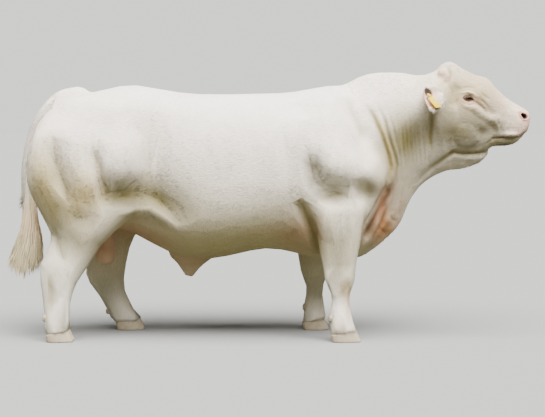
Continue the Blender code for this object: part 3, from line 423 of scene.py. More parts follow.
SWELLINGS = (
    (BOTH, -0.800, 0.995, 0.130, 0.155, 0, 0.032, 1.5),  # front of the thigh
    (BOTH, -0.790, 0.800, 0.140, 0.050, 0, -0.012, 1.0),
    (BOTH, -0.600, 0.830, 0.140, 0.100, -25, -0.018, 1.0),  # flank
    (BOTH, -0.865, 1.185, 0.080, 0.060, 0, -0.006, 1.0),
    (BOTH, -1.245, 0.940, 0.070, 0.200, 8, 0.010, 1.0),  # back of the thigh
    (BOTH, -1.040, 0.960, 0.075, 0.160, 6, 0.010, 1.2),
    (BOTH, -1.010, 0.692, 0.110, 0.045, -18, -0.008, 1.0),
    (BOTH, -0.930, 0.640, 0.080, 0.060, 20, 0.006, 1.1),
    (BOTH, 0.375, 0.995, 0.125, 0.105, 0, 0.014, 1.4),  # triceps
    (BOTH, 0.258, 0.965, 0.065, 0.085, -12, -0.014, 1.0),
    (BOTH, 0.376, 0.815, 0.095, 0.045, 0, -0.018, 1.0),
    (BOTH, 0.520, 0.824, 0.050, 0.060, -15, -0.016, 1.0),
    (BOTH, 0.607, 0.940, 0.075, 0.100, 10, 0.012, 1.4),  # point of the shoulder
    (BOTH, 0.860, 1.130, 0.110, 0.120, 0, -0.012, 1.0),  # side of the neck
    (BOTH, 0.205, 1.292, 0.100, 0.030, 6, -0.008, 1.0),
    (BOTH, 0.345, 1.160, 0.130, 0.140, 0, 0.008, 1.2),
    (BOTH, 0.300, 0.745, 0.070, 0.060, 0, 0.008, 1.0),
    (BOTH, 0.460, 0.735, 0.060, 0.080, 0, 0.008, 1.0),
)
LINES = (
    (BOTH, 0.034, -0.013, ((0.400, 1.345), (0.440, 1.290), (0.484, 1.235), (0.525, 1.155), (0.555, 1.060))),
    (BOTH, 0.045, -0.005, ((0.235, 0.940), (0.262, 0.892), (0.330, 0.868), (0.400, 0.866), (0.480, 0.880))),
    (BOTH, 0.024, 0.004,
     ((0.215, 0.760), (0.245, 0.805), (0.310, 0.842), (0.410, 0.855), (0.470, 0.835), (0.530, 0.785))),
    (BOTH, 0.024, -0.012, ((0.175, 0.790), (0.205, 0.730), (0.238, 0.665), (0.264, 0.590), (0.292, 0.480))),
    (BOTH, 0.015, -0.012, ((0.655, 0.840), (0.636, 0.790), (0.594, 0.712), (0.560, 0.660), (0.540, 0.600))),
    (BOTH, 0.018, -0.005, ((0.405, 0.740), (0.398, 0.620), (0.400, 0.500))),
    (BOTH, 0.016, -0.004, ((0.330, 0.640), (0.345, 0.560), (0.352, 0.480))),
    (BOTH, 0.014, -0.007,
     ((-1.175, 1.060), (-1.156, 1.010), (-1.132, 0.930), (-1.100, 0.850), (-1.075, 0.810))),
    (BOTH, 0.050, -0.008, ((-1.190, 1.150), (-1.170, 1.010), (-1.130, 0.890), (-1.085, 0.800))),
    (BOTH, 0.026, -0.014,
     ((-0.942, 1.060), (-0.925, 0.980), (-0.908, 0.900), (-0.892, 0.820), (-0.880, 0.770))),
    (BOTH, 0.050, 0.009, ((-1.000, 1.000), (-0.970, 0.900), (-0.940, 0.790))),
    (BOTH, 0.026, -0.005, ((-1.090, 0.725), (-1.045, 0.695), (-0.990, 0.683), (-0.945, 0.705))),
    (BOTH, 0.060, -0.011, ((-0.545, 1.280), (-0.580, 1.150), (-0.640, 1.020), (-0.640, 0.930))),
    (BOTH, 0.032, 0.007,
     ((-0.800, 0.730), (-0.737, 0.745), (-0.637, 0.745), (-0.518, 0.677), (-0.440, 0.600))),
    (BOTH, 0.024, -0.012,
     ((-0.665, 0.830), (-0.600, 0.790), (-0.540, 0.735), (-0.490, 0.668), (-0.450, 0.600))),
    (BOTH, 0.020, -0.006, ((-0.590, 0.850), (-0.530, 0.800), (-0.470, 0.735), (-0.430, 0.660))),
    (BOTH, 0.034, -0.005, ((0.080, 1.200), (0.120, 1.050), (0.130, 0.900), (0.110, 0.780))),
    *((BOTH, 0.0080, -depth, ((x, top), (x + 0.012, 1.13), (x + 0.032, 0.98)))
      for x, top, depth in (
          (0.702, 1.25, 0.0018), (0.722, 1.29, 0.0010), (0.745, 1.26, 0.0020), (0.772, 1.22, 0.0012),
          (0.791, 1.28, 0.0022), (0.818, 1.25, 0.0010), (0.838, 1.20, 0.0018), (0.866, 1.26, 0.0014),
          (0.889, 1.22, 0.0018))),  # neck
    (BOTH, 0.014, 0.006, ((0.430, 0.395), (0.462, 0.372), (0.470, 0.345), (0.458, 0.318))),  # knee
    (BOTH, 0.012, -0.004, ((0.330, 0.425), (0.400, 0.437), (0.480, 0.430))),
    (BOTH, 0.012, 0.004, ((0.338, 0.400), (0.330, 0.362), (0.345, 0.330))),
    (BOTH, 0.012, -0.005, ((0.455, 0.335), (0.425, 0.290), (0.412, 0.220), (0.415, 0.160))),
    (BOTH, 0.013, -0.005, ((0.376, 0.260), (0.378, 0.170))),
    ((RIGHT,), 0.018, -0.011, ((-1.185, 0.640), (-1.165, 0.560), (-1.140, 0.490), (-1.115, 0.440))),  # hock
    ((RIGHT,), 0.013, -0.006, ((-1.196, 0.350), (-1.190, 0.270), (-1.194, 0.170))),
    ((RIGHT,), 0.016, 0.005, ((-1.130, 0.440), (-1.100, 0.405), (-1.090, 0.360))),
    ((RIGHT,), 0.010, -0.004, ((-1.262, 0.420), (-1.240, 0.400), (-1.238, 0.372))),
    ((LEFT,), 0.018, -0.009, ((-1.035, 0.600), (-1.005, 0.520), (-0.975, 0.450), (-0.955, 0.415))),
    ((LEFT,), 0.013, -0.006, ((-0.990, 0.340), (-0.962, 0.275), (-0.930, 0.190))),
)
FOLDS = (
    (BOTH, 0.010, 0.007, (0.014, 0.004),
     ((0.560, 1.310), (0.600, 1.240), (0.640, 1.150), (0.682, 1.038), (0.697, 0.968),
      (0.690, 0.895), (0.645, 0.800))),
    (BOTH, 0.010, 0.0055, (0.014, 0.004),
     ((0.615, 1.320), (0.655, 1.230), (0.681, 1.136), (0.716, 1.038), (0.731, 0.982),
      (0.724, 0.899), (0.690, 0.810))),
    (BOTH, 0.009, 0.003, (0.012, 0.003), ((0.680, 1.270), (0.714, 1.150), (0.744, 1.030), (0.755, 0.900))),
    (BOTH, 0.012, 0.009, (-0.014, 0.0), ((0.930, 1.290), (0.922, 1.220), (0.916, 1.140), (0.922, 1.060))),
    (BOTH, 0.014, 0.006, (-0.006, -0.014),
     ((1.290, 1.062), (1.200, 1.044), (1.120, 1.042), (1.060, 1.050), (0.995, 1.003),
      (0.935, 0.955), (0.860, 0.880))),
    (BOTH, 0.015, 0.009, (0.020, 0.0),
     ((0.690, 0.870), (0.660, 0.780), (0.619, 0.696), (0.584, 0.606), (0.549, 0.530))),
    (BOTH, 0.015, 0.008, (0.020, 0.0),
     ((0.737, 0.930), (0.720, 0.865), (0.702, 0.790), (0.690, 0.720), (0.655, 0.645), (0.610, 0.580))),
    (BOTH, 0.013, 0.003, (0.016, 0.0), ((0.785, 0.870), (0.760, 0.785), (0.748, 0.705), (0.710, 0.630))),
    (BOTH, 0.012, 0.002, (0.010, 0.010), ((0.750, 0.660), (0.715, 0.672), (0.685, 0.705))),
    (BOTH, 0.012, 0.002, (0.010, 0.010), ((0.690, 0.590), (0.658, 0.604), (0.630, 0.635))),
    (BOTH, 0.009, 0.006, (0.0, 0.011), ((-0.545, 0.450), (-0.490, 0.418), (-0.440, 0.408), (-0.370, 0.420))),
    (BOTH, 0.007, 0.005, (0.0, 0.009), ((-0.500, 0.395), (-0.450, 0.378), (-0.400, 0.388))),
    (BOTH, 0.006, 0.004, (0.006, 0.0), ((-0.440, 0.410), (-0.452, 0.380), (-0.448, 0.350))),
)
swell(hide, SWELLINGS)
draw_lines(hide, LINES)
draw_lines(hide, creases(FOLDS))
print("swellings:", len(SWELLINGS), "lines:", len(LINES) + 2 * len(FOLDS))

# %% [markdown]
# ## Sink, thin and refine the hide
# The coat stands over the hide, so the hide lies a few millimetres inside the solids, and less on the face
# and feet. A grid that is fine enough for the lids would be far too heavy for the whole bull. So the hide is
# thinned, but less in the folds of neck and brisket, and not at all on the ears and round the eyes, the
# nostrils and the mouth. These are divided finer instead.


# %% Sink and thin
def coat_depth(p):
    """How deep the coat is, in metres. At the rims of the claws the hide swells out instead."""
    feet = 1 - step_up(p[:, 2], 0.12, 0.60)
    rim = 1 - step_up(p[:, 2], 0.070, 0.115)
    return 0.0042 - 0.0030 * head_share(p) - 0.0034 * feet - 0.0030 * rim


MOUTH = ((1.280, 1.130), (1.340, 1.137), (1.393, 1.133), (1.440, 1.145), (1.482, 1.167))


def eye_distance(p):
    return np.minimum(*[np.linalg.norm(p - EYES[side], axis=1) for side in BOTH])


def nostril_distance(p):
    return np.minimum(*[np.linalg.norm(p - NOSTRILS[side], axis=1) for side in BOTH])


def coarse_zone(p):
    mouth = distance_to_path(p[:, 0], p[:, 2], MOUTH) < 0.018
    return (eye_distance(p) < 0.054) | (nostril_distance(p) < 0.046) | mouth | (ear_share(p) > 0.01)


HIDE_TRIANGLES = 110000
places = places_of(hide.data)
depth = coat_depth(places) * (1 - 0.8 * ear_share(places))
set_places(hide.data, places - normals_of(hide.data) * depth[:, None])
places = places_of(hide.data)
may_thin = hide.vertex_groups.new(name="may_thin")
thinnable = ~coarse_zone(places)
folded = thinnable & (places[:, 0] > 0.50) & (places[:, 2] > 0.50)
may_thin.add(np.flatnonzero(thinnable).tolist(), 1.0, "REPLACE")
may_thin.add(np.flatnonzero(folded).tolist(), 0.5, "REPLACE")
thin = hide.modifiers.new("Thin", "DECIMATE")
thin.ratio = min(1.0, HIDE_TRIANGLES / (2 * len(hide.data.polygons)))
thin.vertex_group = "may_thin"
thin.vertex_group_factor = 1.0
thin.use_collapse_triangulate = True
apply_modifiers(hide)
hide.vertex_groups.clear()
print("thinned hide:", len(hide.data.polygons), "triangles")

# %% Refine
def refine(thing, zone):
    """Divides each face whose points all lie in the zone into four, then rounds them."""
    work = bmesh.new()
    work.from_mesh(thing.data)
    inside = zone(np.array([v.co for v in work.verts]))
    edges = [e for e in work.edges if inside[e.verts[0].index] and inside[e.verts[1].index]]
    bmesh.ops.subdivide_edges(work, edges=edges, cuts=1, use_grid_fill=True)
    bmesh.ops.triangulate(work, faces=[f for f in work.faces if len(f.verts) > 3])
    work.to_mesh(thing.data)
    work.free()
    relax(thing, 2, zone(places_of(thing.data)).astype(float))


def fine_zone(p):
    mouth = distance_to_path(p[:, 0], p[:, 2], MOUTH) < 0.008
    return (eye_distance(p) < 0.034) | (nostril_distance(p) < 0.029) | mouth


refine(hide, coarse_zone)
refine(hide, fine_zone)
print("refined hide:", len(hide.data.polygons), "triangles")

# %% [markdown]
# The ears are thin, and the grid has dulled them, so each of their points is drawn back to the nearest
# place on a smoothed copy of the solid ear.

# %% Draw the ears back
places = places_of(hide.data)
pull = ear_share(places)
for number in np.flatnonzero(pull > 0):
    found = EAR_TREES[LEFT if places[number, 1] > 0 else RIGHT].find_nearest(Vector(places[number]))[0]
    places[number] += (np.array(found) - places[number]) * pull[number]
set_places(hide.data, places)
relax(hide, 1, pull)
print("ear points:", int((pull > 0.5).sum()))

# %% [markdown]
# ## The face
# The lids are thin skin draped over the eyeball. Cutting the opening out would leave a hard edge, so the
# skin stays whole: a point near the eye is set to the lids' distance from its middle, and the points inside
# the almond opening fall behind the ball. The nostrils are comma-shaped pits, pressed in the same way, and
# wrinkles run round the eye and down from its inner corner.


# %% Wrinkles and lips
FACE = (
    (BOTH, 0.0050, -0.0030, ((1.090, 1.368), (1.108, 1.381), (1.132, 1.384), (1.158, 1.372), (1.175, 1.350))),
    (BOTH, 0.0050, -0.0026, ((1.098, 1.334), (1.118, 1.322), (1.142, 1.318), (1.170, 1.324))),
    (BOTH, 0.0060, -0.0026, ((1.096, 1.394), (1.130, 1.401), (1.165, 1.392), (1.190, 1.370))),
    (BOTH, 0.0060, -0.0022, ((1.100, 1.410), (1.135, 1.417), (1.180, 1.404))),
    (BOTH, 0.0070, -0.0050, ((1.162, 1.340), (1.190, 1.322), (1.222, 1.296), (1.238, 1.262))),
    (BOTH, 0.0060, -0.0030, ((1.192, 1.352), (1.225, 1.330), (1.250, 1.305))),
    (BOTH, 0.0060, -0.0024, ((1.205, 1.380), (1.232, 1.360), (1.262, 1.345))),
    (BOTH, 0.0080, -0.0028, ((1.075, 1.352), (1.060, 1.330), (1.055, 1.300))),
    (BOTH, 0.0120, 0.0040, ((1.090, 1.378), (1.130, 1.390), (1.170, 1.378))),
    (BOTH, 0.0140, 0.0035, ((1.100, 1.316), (1.140, 1.304), (1.180, 1.306))),
    (BOTH, 0.0052, -0.0065, MOUTH),
    (BOTH, 0.0090, 0.0030, ((1.300, 1.154), (1.360, 1.156), (1.420, 1.156), (1.470, 1.182))),
    (BOTH, 0.0090, 0.0030, ((1.320, 1.114), (1.390, 1.112), (1.440, 1.126))),
    (BOTH, 0.0090, -0.0035, ((1.300, 1.110), (1.282, 1.126), (1.262, 1.108), (1.240, 1.100))),
    (BOTH, 0.0080, -0.0030, ((1.295, 1.240), (1.320, 1.205), (1.330, 1.170))),
    (BOTH, 0.0080, -0.0040, ((1.018, 1.524), (1.030, 1.490), (1.018, 1.452), (0.985, 1.440))),
    (BOTH, 0.0200, -0.0050, ((1.240, 1.210), (1.290, 1.190))),
)
draw_lines(hide, FACE)


# %% Lids and nostrils
def unit(vector):
    return np.array(vector, float) / np.linalg.norm(vector)


def eye_axes(side):
    """The directions out of the eye, forwards along the lids, and up across them."""
    out = unit((0.20, side * 0.97, 0.10))
    forward = unit(np.array((1.0, 0.0, -0.13)) - out * np.dot((1.0, 0.0, -0.13), out))
    up = np.cross(out, forward) * -side
    return out, forward, up


def lid_place(p, side):
    """Where points are on the eye: along the lids, up, out, and on the almond, which is 1 at its edge."""
    out, forward, up = eye_axes(side)
    away = p - EYES[side]
    u, v = away @ forward, away @ up
    almond = np.abs(u / 0.0228) ** 1.7 + np.abs(v / np.where(v > 0, 0.0146, 0.0112)) ** 1.7
    return u, v, away @ out, almond


def into_nostril(side):
    return unit((-0.60, -side * 0.76, -0.26))


def nostril_ring(p, side):
    """A point's place at a nostril: 1 on the opening's comma-shaped edge, less inside, and its depth."""
    inward = into_nostril(side)
    along = unit(np.array((0.93, 0.0, -0.36)) - inward * np.dot((0.93, 0.0, -0.36), inward))
    across = np.cross(inward, along)
    away = p - NOSTRILS[side]
    a, b = away @ along, away @ across
    b = b - 0.16 * (a - 0.006) ** 2 / 0.02 * side
    return np.sqrt((a / 0.0235) ** 2 + (b / np.where(a > 0, 0.0175, 0.0135)) ** 2), away @ inward


EYE_RADIUS = (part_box("right_eye")[1][2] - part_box("right_eye")[0][2]) / 2
places, normals = places_of(hide.data), normals_of(hide.data)
for side in BOTH:
    near = np.flatnonzero(np.linalg.norm(places - EYES[side], axis=1) < 0.05)
    u, v, w, almond = lid_place(places[near], side)
    near, u, v, almond = near[w > 0], u[w > 0], v[w > 0], almond[w > 0]
    away = places[near] - EYES[side]
    reach = np.linalg.norm(away, axis=1)
    lid = EYE_RADIUS + 0.0016 + 0.0009 * np.exp(-(((almond - 1.25) / 0.25) ** 2))
    share = step_up(np.hypot(u, v), 0.019, 0.034)
    wanted = lid * (1 - share) + reach * share
    opened = step_up(almond, 0.80, 1.06)
    wanted = EYE_RADIUS * 0.55 * (1 - opened) + wanted * opened
    places[near] = EYES[side] + away * (wanted / reach)[:, None]
    inward = into_nostril(side)
    near = np.linalg.norm(places - NOSTRILS[side], axis=1) < 0.045
    near = np.flatnonzero(near & (normals @ -inward > 0))
    ring = nostril_ring(places[near], side)[0]
    pit = 0.036 * (1 - step_up(ring, 0.55, 1.0))
    rim = 0.0022 * np.exp(-(((ring - 1.22) / 0.20) ** 2))
    places[near] += inward * pit[:, None] + normals[near] * rim[:, None]
set_places(hide.data, places)
print("face shaped; hide has", len(hide.data.polygons), "triangles")

# %% [markdown]
# ## Colour of the hide
# The coat is creamy white. Thin skin shows pink at the muzzle, lids and ears, and brownish pink under the
# brisket, on the sheath and between the thighs; lying down leaves yellow and ochre stains. Light and shade
# are painted in too. Hollows are darker and warmer, as painted shade where less sky reaches them and for the
# dust that gathers there, and ridges are whiter, as a painted highlight. The upper body is painted lighter.
# Dark olive patches and streaks of painted shade lie on the flank, under the thigh, behind and under the
# triceps, on the cheek, neck and chin and along grooves and creases, and the belly is painted olive, for
# shade and dirt.
# Each patch is a soft spot: its colour, how strong it is, its middle and its reach. Streaks are soft lines.
# The left side, which the photograph doesn't show, is kept cleaner: the dark ones are half as strong there. A
# painted picture would need an unwrap first.
# Colours on the points need none, and the tufts can take them over at their roots.


# %% Patches
def srgb(red, green, blue):
    return tuple(((v / 255 + 0.055) / 1.055) ** 2.4 for v in (red, green, blue))


COAT = srgb(231, 219, 198)
WHITE = srgb(238, 232, 224)
CREAM = srgb(220, 202, 160)
# Olive painted shade for undersides and corners, with some dirt on the belly.
OLIVE_SHADE_AND_DIRT = srgb(182, 170, 122)
OCHRE = srgb(176, 116, 30)
PINK = srgb(222, 166, 146)
ROSE = srgb(200, 138, 118)
TAN = srgb(178, 120, 84)
SHADE = srgb(124, 114, 62)
# Rows in dark olive are painted shade, in hollows and under bulges.
PATCHES = (
    # Painted light: the upper body is lighter.
    (srgb(240, 230, 221), 0.9, (-0.1, 0, 1.36), (1.2, 0.9, 0.42)),
    (srgb(232, 226, 212), 0.8, (0.42, 0.25, 0.55), (0.25, 0.3, 0.30)),
    (srgb(232, 226, 212), 0.7, (-1.1, 0.25, 0.30), (0.45, 0.3, 0.32)),
    (CREAM, 0.60, (0.0, 0.0, 0.60), (0.9, 0.6, 0.20)),
    # Olive under the belly: painted shade and dirt.
    (OLIVE_SHADE_AND_DIRT, 0.80, (-0.20, 0.2, 0.50), (0.60, 0.5, 0.17)),
    (SHADE, 0.88, (-0.57, 0.3, 0.80), (0.18, 0.4, 0.12)),
    (SHADE, 0.95, (-0.800, 0.35, 0.815), (0.12, 0.3, 0.075)),
    (SHADE, 0.85, (-1.14, 0.33, 0.71), (0.14, 0.3, 0.11)),
    (srgb(168, 148, 80), 0.85, (-1.22, 0.30, 0.90), (0.11, 0.3, 0.20)),
    (srgb(214, 186, 110), 0.75, (-1.00, 0.35, 0.83), (0.090, 0.3, 0.130)),
    (SHADE, 0.60, (-1.04, 0.30, 0.55), (0.13, 0.3, 0.10)),
    (SHADE, 0.50, (-1.20, 0.28, 0.29), (0.05, 0.2, 0.10)),
    (srgb(176, 158, 150), 0.60, (-1.330, 0.0, 1.16), (0.07, 0.12, 0.24)),
    (CREAM, 0.50, (0.68, 0.15, 0.98), (0.10, 0.3, 0.24)),
    (SHADE, 0.94, (0.78, 0.20, 1.12), (0.13, 0.3, 0.17)),
    (srgb(174, 150, 98), 0.88, (1.14, 0.0, 1.38), (0.26, 0.3, 0.20)),
    # Painted shade on the cheek, under the brow.
    (srgb(102, 94, 58), 0.92, (1.08, 0.12, 1.165), (0.20, 0.3, 0.095)),
    (SHADE, 0.45, (1.03, 0.14, 1.34), (0.045, 0.3, 0.090)),
    # Painted shade in the hollow behind the triceps.
    (srgb(98, 88, 54), 0.90, (0.260, 0.35, 0.968), (0.050, 0.3, 0.070)),
    (SHADE, 0.80, (0.38, 0.35, 0.820), (0.08, 0.3, 0.042)),
    (SHADE, 0.60, (0.575, 0.32, 0.860), (0.040, 0.3, 0.050)),
    # Painted shade on the lower forearm.
    (srgb(108, 102, 74), 0.75, (0.42, 0.35, 0.51), (0.07, 0.3, 0.08)),
    (SHADE, 0.95, (1.36, 0.00, 1.085), (0.08, 0.12, 0.035)),
    (CREAM, 0.55, (1.150, 0.13, 1.392), (0.09, 0.08, 0.030)),
    # Painted shade in the hollow in front of the eye.
    (srgb(166, 146, 100), 0.60, (1.205, 0.12, 1.370), (0.026, 0.08, 0.026)),
    # Painted shade at the corner of the mouth and under the chin.
    (OLIVE_SHADE_AND_DIRT, 0.50, (1.300, 0.06, 1.110), (0.050, 0.08, 0.030)),
    (OLIVE_SHADE_AND_DIRT, 0.40, (1.420, 0.00, 1.120), (0.080, 0.10, 0.020)),
    (srgb(152, 122, 26), 0.90, (0.438, 0.33, 0.302), (0.038, 0.2, 0.050)),
    (OCHRE, 0.45, (0.460, 0.28, 0.225), (0.028, 0.2, 0.050)),
    (OCHRE, 0.35, (0.270, 0.22, 0.60), (0.04, 0.3, 0.12)),
    (OCHRE, 0.30, (0.37, 0.30, 0.085), (0.05, 0.2, 0.03)),
    (srgb(156, 92, 44), 0.85, (0.655, 0.12, 0.72), (0.045, 0.25, 0.14)),
    (srgb(210, 180, 156), 0.55, (0.760, 0.0, 0.74), (0.050, 0.25, 0.12)),
    (srgb(178, 120, 66), 0.90, (0.640, 0.0, 0.62), (0.12, 0.25, 0.08)),
    # Brownish pink skin behind the elbow, with painted shade there.
    (TAN, 0.55, (0.17, 0.24, 0.60), (0.11, 0.25, 0.10)),
    (TAN, 0.45, (-0.30, 0.0, 0.43), (0.70, 0.16, 0.05)),
    (srgb(224, 192, 168), 0.78, (-0.43, 0.0, 0.360), (0.13, 0.10, 0.075)),
    (TAN, 0.70, (-0.66, 0.10, 0.60), (0.22, 0.14, 0.10)),
    (TAN, 0.50, (-0.98, 0.08, 0.74), (0.20, 0.12, 0.18)),
    (srgb(232, 170, 144), 0.85, (-0.925, 0.0, 0.50), (0.09, 0.12, 0.13)),
    (PINK, 0.80, (1.462, 0.0, 1.245), (0.055, 0.20, 0.055)),
    (ROSE, 0.35, (1.495, 0.0, 1.230), (0.020, 0.20, 0.060)),
    (PINK, 0.45, (1.440, 0.0, 1.175), (0.065, 0.20, 0.030)),
    (PINK, 0.70, (1.135, 0.13, 1.350), (0.042, 0.06, 0.020)),
    (ROSE, 0.40, (1.150, 0.13, 1.322), (0.045, 0.06, 0.010)),
    (PINK, 0.55, (0.990, 0.14, 1.490), (0.030, 0.10, 0.036)),
    (PINK, 0.30, (1.330, 0.06, 1.330), (0.070, 0.10, 0.050)),
)
# Streaks in dark olive are painted shade along grooves, creases and the jaw's edge.
STREAKS = (
    (SHADE, 0.75, 0.018,
     ((1.290, 1.062), (1.200, 1.044), (1.120, 1.042), (1.053, 1.050), (0.993, 1.003), (0.930, 0.950))),
    (SHADE, 0.70, 0.016, ((0.928, 1.286), (0.922, 1.220), (0.916, 1.140), (0.922, 1.060))),
    # Painted shade in the groove below the eye's front corner.
    (srgb(140, 120, 88), 0.60, 0.008, ((1.162, 1.340), (1.190, 1.322), (1.222, 1.296), (1.238, 1.262))),
    # Painted shade along the line of the lips.
    (srgb(150, 130, 96), 0.55, 0.010,
     ((1.262, 1.108), (1.290, 1.122), (1.340, 1.137), (1.393, 1.133), (1.440, 1.145))),
    # Painted shadow along the front of the horn scar.
    (srgb(160, 136, 100), 0.55, 0.009, ((1.018, 1.530), (1.034, 1.490), (1.022, 1.448), (0.985, 1.435))),
    # Brown skin and painted shade in the brisket's groove.
    (srgb(120, 82, 56), 0.90, 0.022, ((0.730, 0.918), (0.682, 0.810), (0.607, 0.700), (0.540, 0.570))),
    (srgb(206, 180, 120), 0.70, 0.016,
     ((0.585, 1.300), (0.640, 1.190), (0.680, 1.080), (0.705, 0.968), (0.700, 0.895))),
    (SHADE, 0.65, 0.015,
     ((0.560, 1.310), (0.600, 1.240), (0.640, 1.150), (0.682, 1.038), (0.697, 0.968), (0.690, 0.895))),
    (SHADE, 0.55, 0.012, ((0.655, 1.240), (0.681, 1.136), (0.716, 1.038), (0.731, 0.982), (0.724, 0.899))),
    (SHADE, 0.75, 0.022, ((0.185, 0.790), (0.210, 0.730), (0.242, 0.665), (0.268, 0.590), (0.300, 0.460))),
    (SHADE, 0.45, 0.016,
     ((-1.165, 1.035), (-1.150, 0.980), (-1.125, 0.910), (-1.095, 0.850), (-1.070, 0.800))),
    (SHADE, 0.45, 0.022, ((-0.930, 1.060), (-0.915, 0.980), (-0.900, 0.900), (-0.880, 0.820))),
    (SHADE, 0.40, 0.020, ((0.430, 1.355), (0.465, 1.290), (0.505, 1.220), (0.540, 1.130))),
    (SHADE, 0.45, 0.014, ((-1.175, 0.620), (-1.158, 0.550), (-1.135, 0.485), (-1.112, 0.440))),
    (SHADE, 0.55, 0.020, ((-1.212, 0.400), (-1.202, 0.310), (-1.198, 0.200), (-1.195, 0.140))),
    (SHADE, 0.40, 0.012, ((0.330, 0.428), (0.400, 0.440), (0.470, 0.432))),
)
SPOTS = (
    ((1.480, 0.0, 1.240), (0.042, 0.12, 0.055)),
    ((-0.44, 0.0, 0.350), (0.07, 0.08, 0.050)),
    ((-0.925, 0.0, 0.48), (0.08, 0.11, 0.11)),
    ((1.40, 0.0, 1.137), (0.10, 0.10, 0.008)),
)


def spot(p, middle, reach):
    """The square of a point's distance from a spot's middle, in reaches; both sides are alike."""
    return (((on_the_left(p) - middle) / reach) ** 2).sum(axis=1)


def skin_share(p):
    """1 in the middle of the bare spots, 0 where hair grows."""
    skin = np.zeros(len(p))
    for middle, reach in SPOTS:
        skin = np.maximum(skin, np.exp(-spot(p, middle, reach) ** 2))
    return skin


def blend(colours, colour, share):
    share = np.clip(share, 0, 1)[:, None]
    return colours * (1 - share) + np.array(colour) * share


def smoothed_places(mesh, rounds):
    """The points after so many rounds of averaging with their neighbours."""
    pairs = np.empty(len(mesh.edges) * 2, np.int32)
    mesh.edges.foreach_get("vertices", pairs)
    first, second = pairs.reshape(-1, 2).T
    count = len(mesh.vertices)
    near = np.bincount(first, minlength=count) + np.bincount(second, minlength=count)
    places = places_of(mesh)
    for _ in range(rounds):
        total = np.empty_like(places)
        for axis in range(3):
            column = places[:, axis]
            total[:, axis] = np.bincount(first, column[second], count)
            total[:, axis] += np.bincount(second, column[first], count)
        places = 0.4 * places + 0.6 * total / near[:, None]
    return places


def store_colours(mesh, name, colours):
    """Stores opaque colours on a mesh's points."""
    rows = np.ones((len(colours), 4), np.float32)
    rows[:, :3] = colours
    mesh.attributes.new(name, "FLOAT_COLOR", "POINT")
    mesh.attributes[name].data.foreach_set("color", rows.ravel())


places, normals = places_of(hide.data), normals_of(hide.data)
hollow = ((smoothed_places(hide.data, 30) - places) * normals).sum(axis=1)
colours = np.tile(np.array(COAT), (len(places), 1))
# Painted shade: the hollows are darker and warmer, partly also for dust that gathers there.
colours = blend(colours, srgb(176, 160, 112), np.clip(hollow / 0.015, 0, 0.35))
# Painted highlight: the ridges are whiter.
colours = blend(colours, WHITE, np.clip(-hollow / 0.015, 0, 0.25))
# The dark colours are mostly painted shade, and on the left side they are half as strong.
painted_shade_by_side = 1 - 0.5 * step_up(places[:, 1], -0.02, 0.06)
DARK = 0.30  # a colour is dark, and mostly painted shade, if red, green and blue all lie below this
for colour, strength, middle, reach in PATCHES:
    share = strength * np.exp(-spot(places, middle, reach))
    colours = blend(colours, colour, share * painted_shade_by_side if max(colour) < DARK else share)
for colour, strength, radius, path in STREAKS:
    away, along = along_path(places[:, 0], places[:, 2], path)
    share = strength * np.exp(-((away / radius) ** 2)) * step_up(np.minimum(along, 1 - along), -0.12, 0.25)
    colours = blend(colours, colour, share * painted_shade_by_side if max(colour) < DARK else share)
bare = skin_share(places)
print("hollows:", round(float(hollow.max()), 4), "ridges:", round(float(hollow.min()), 4))

# %% [markdown]
# Small parts of the face get colours of their own: nostrils that are rosy at the rim, with painted shade
# inside, lid edges of bare skin that are darkened with painted shade, as are the opening and its front
# corner, a line of painted shade between the lips, and ears that are pink inside, with painted shade at the
# bottom of the cup.

# %% Face colours
def mirrored(p, x, y, z):
    """One direction for all points, mirrored on the right side."""
    return np.stack([np.full(len(p), x), np.sign(p[:, 1]) * y, np.full(len(p), z)], axis=1)


def in_the_cup(p, n):
    """1 where the surface lies in the hollow of an ear."""
    opens = mirrored(p, 0.41, 0.60, 0.69)
    return ear_share(p) * step_up((n * opens).sum(axis=1), -0.1, 0.5)


def ear_hole(p):
    """1 at the bottom of an ear's cup, where shade is painted."""
    away = (on_the_left(p) - (0.905, 0.190, 1.390)) / (0.036, 0.056, 0.034)
    return 1 - step_up(np.linalg.norm(away, axis=1), 0.70, 1.10)


mouth = np.exp(-((distance_to_path(places[:, 0], places[:, 2], MOUTH) / 0.006) ** 2))
# Painted shade along the line between the lips.
colours = blend(colours, srgb(132, 108, 90), 0.65 * mouth)
colours = blend(colours, srgb(224, 166, 138), 0.80 * in_the_cup(places, normals))
for side in BOTH:
    u, v, w, almond = lid_place(places, side)
    near = (np.linalg.norm(places - EYES[side], axis=1) < 0.05) & (w > 0)
    # Painted shade: the lid edges are darkened, and the opening and its front corner are dark.
    rim = np.exp(-(((almond - 1.2) / 0.70) ** 2)) * near
    colours = blend(colours, srgb(74, 48, 38), 0.92 * rim)
    colours = blend(colours, srgb(46, 28, 22), 0.8 * (almond < 1.0) * near)
    corner = np.exp(-((u - 0.026) / 0.006) ** 2 - ((v + 0.004) / 0.004) ** 2) * near
    colours = blend(colours, srgb(92, 58, 48), 0.8 * corner)
    bare = np.maximum(bare, 0.9 * rim)
    ring, deep = nostril_ring(places, side)
    edge = np.exp(-(((ring - 1.25) / 0.30) ** 2))
    colours = blend(colours, srgb(196, 128, 108), 0.7 * edge * (abs(deep) < 0.02))
    # Painted shade inside the nostril.
    colours = blend(colours, srgb(34, 16, 14), 0.97 * (1 - step_up(ring, 0.82, 1.08)) * (abs(deep) < 0.05))
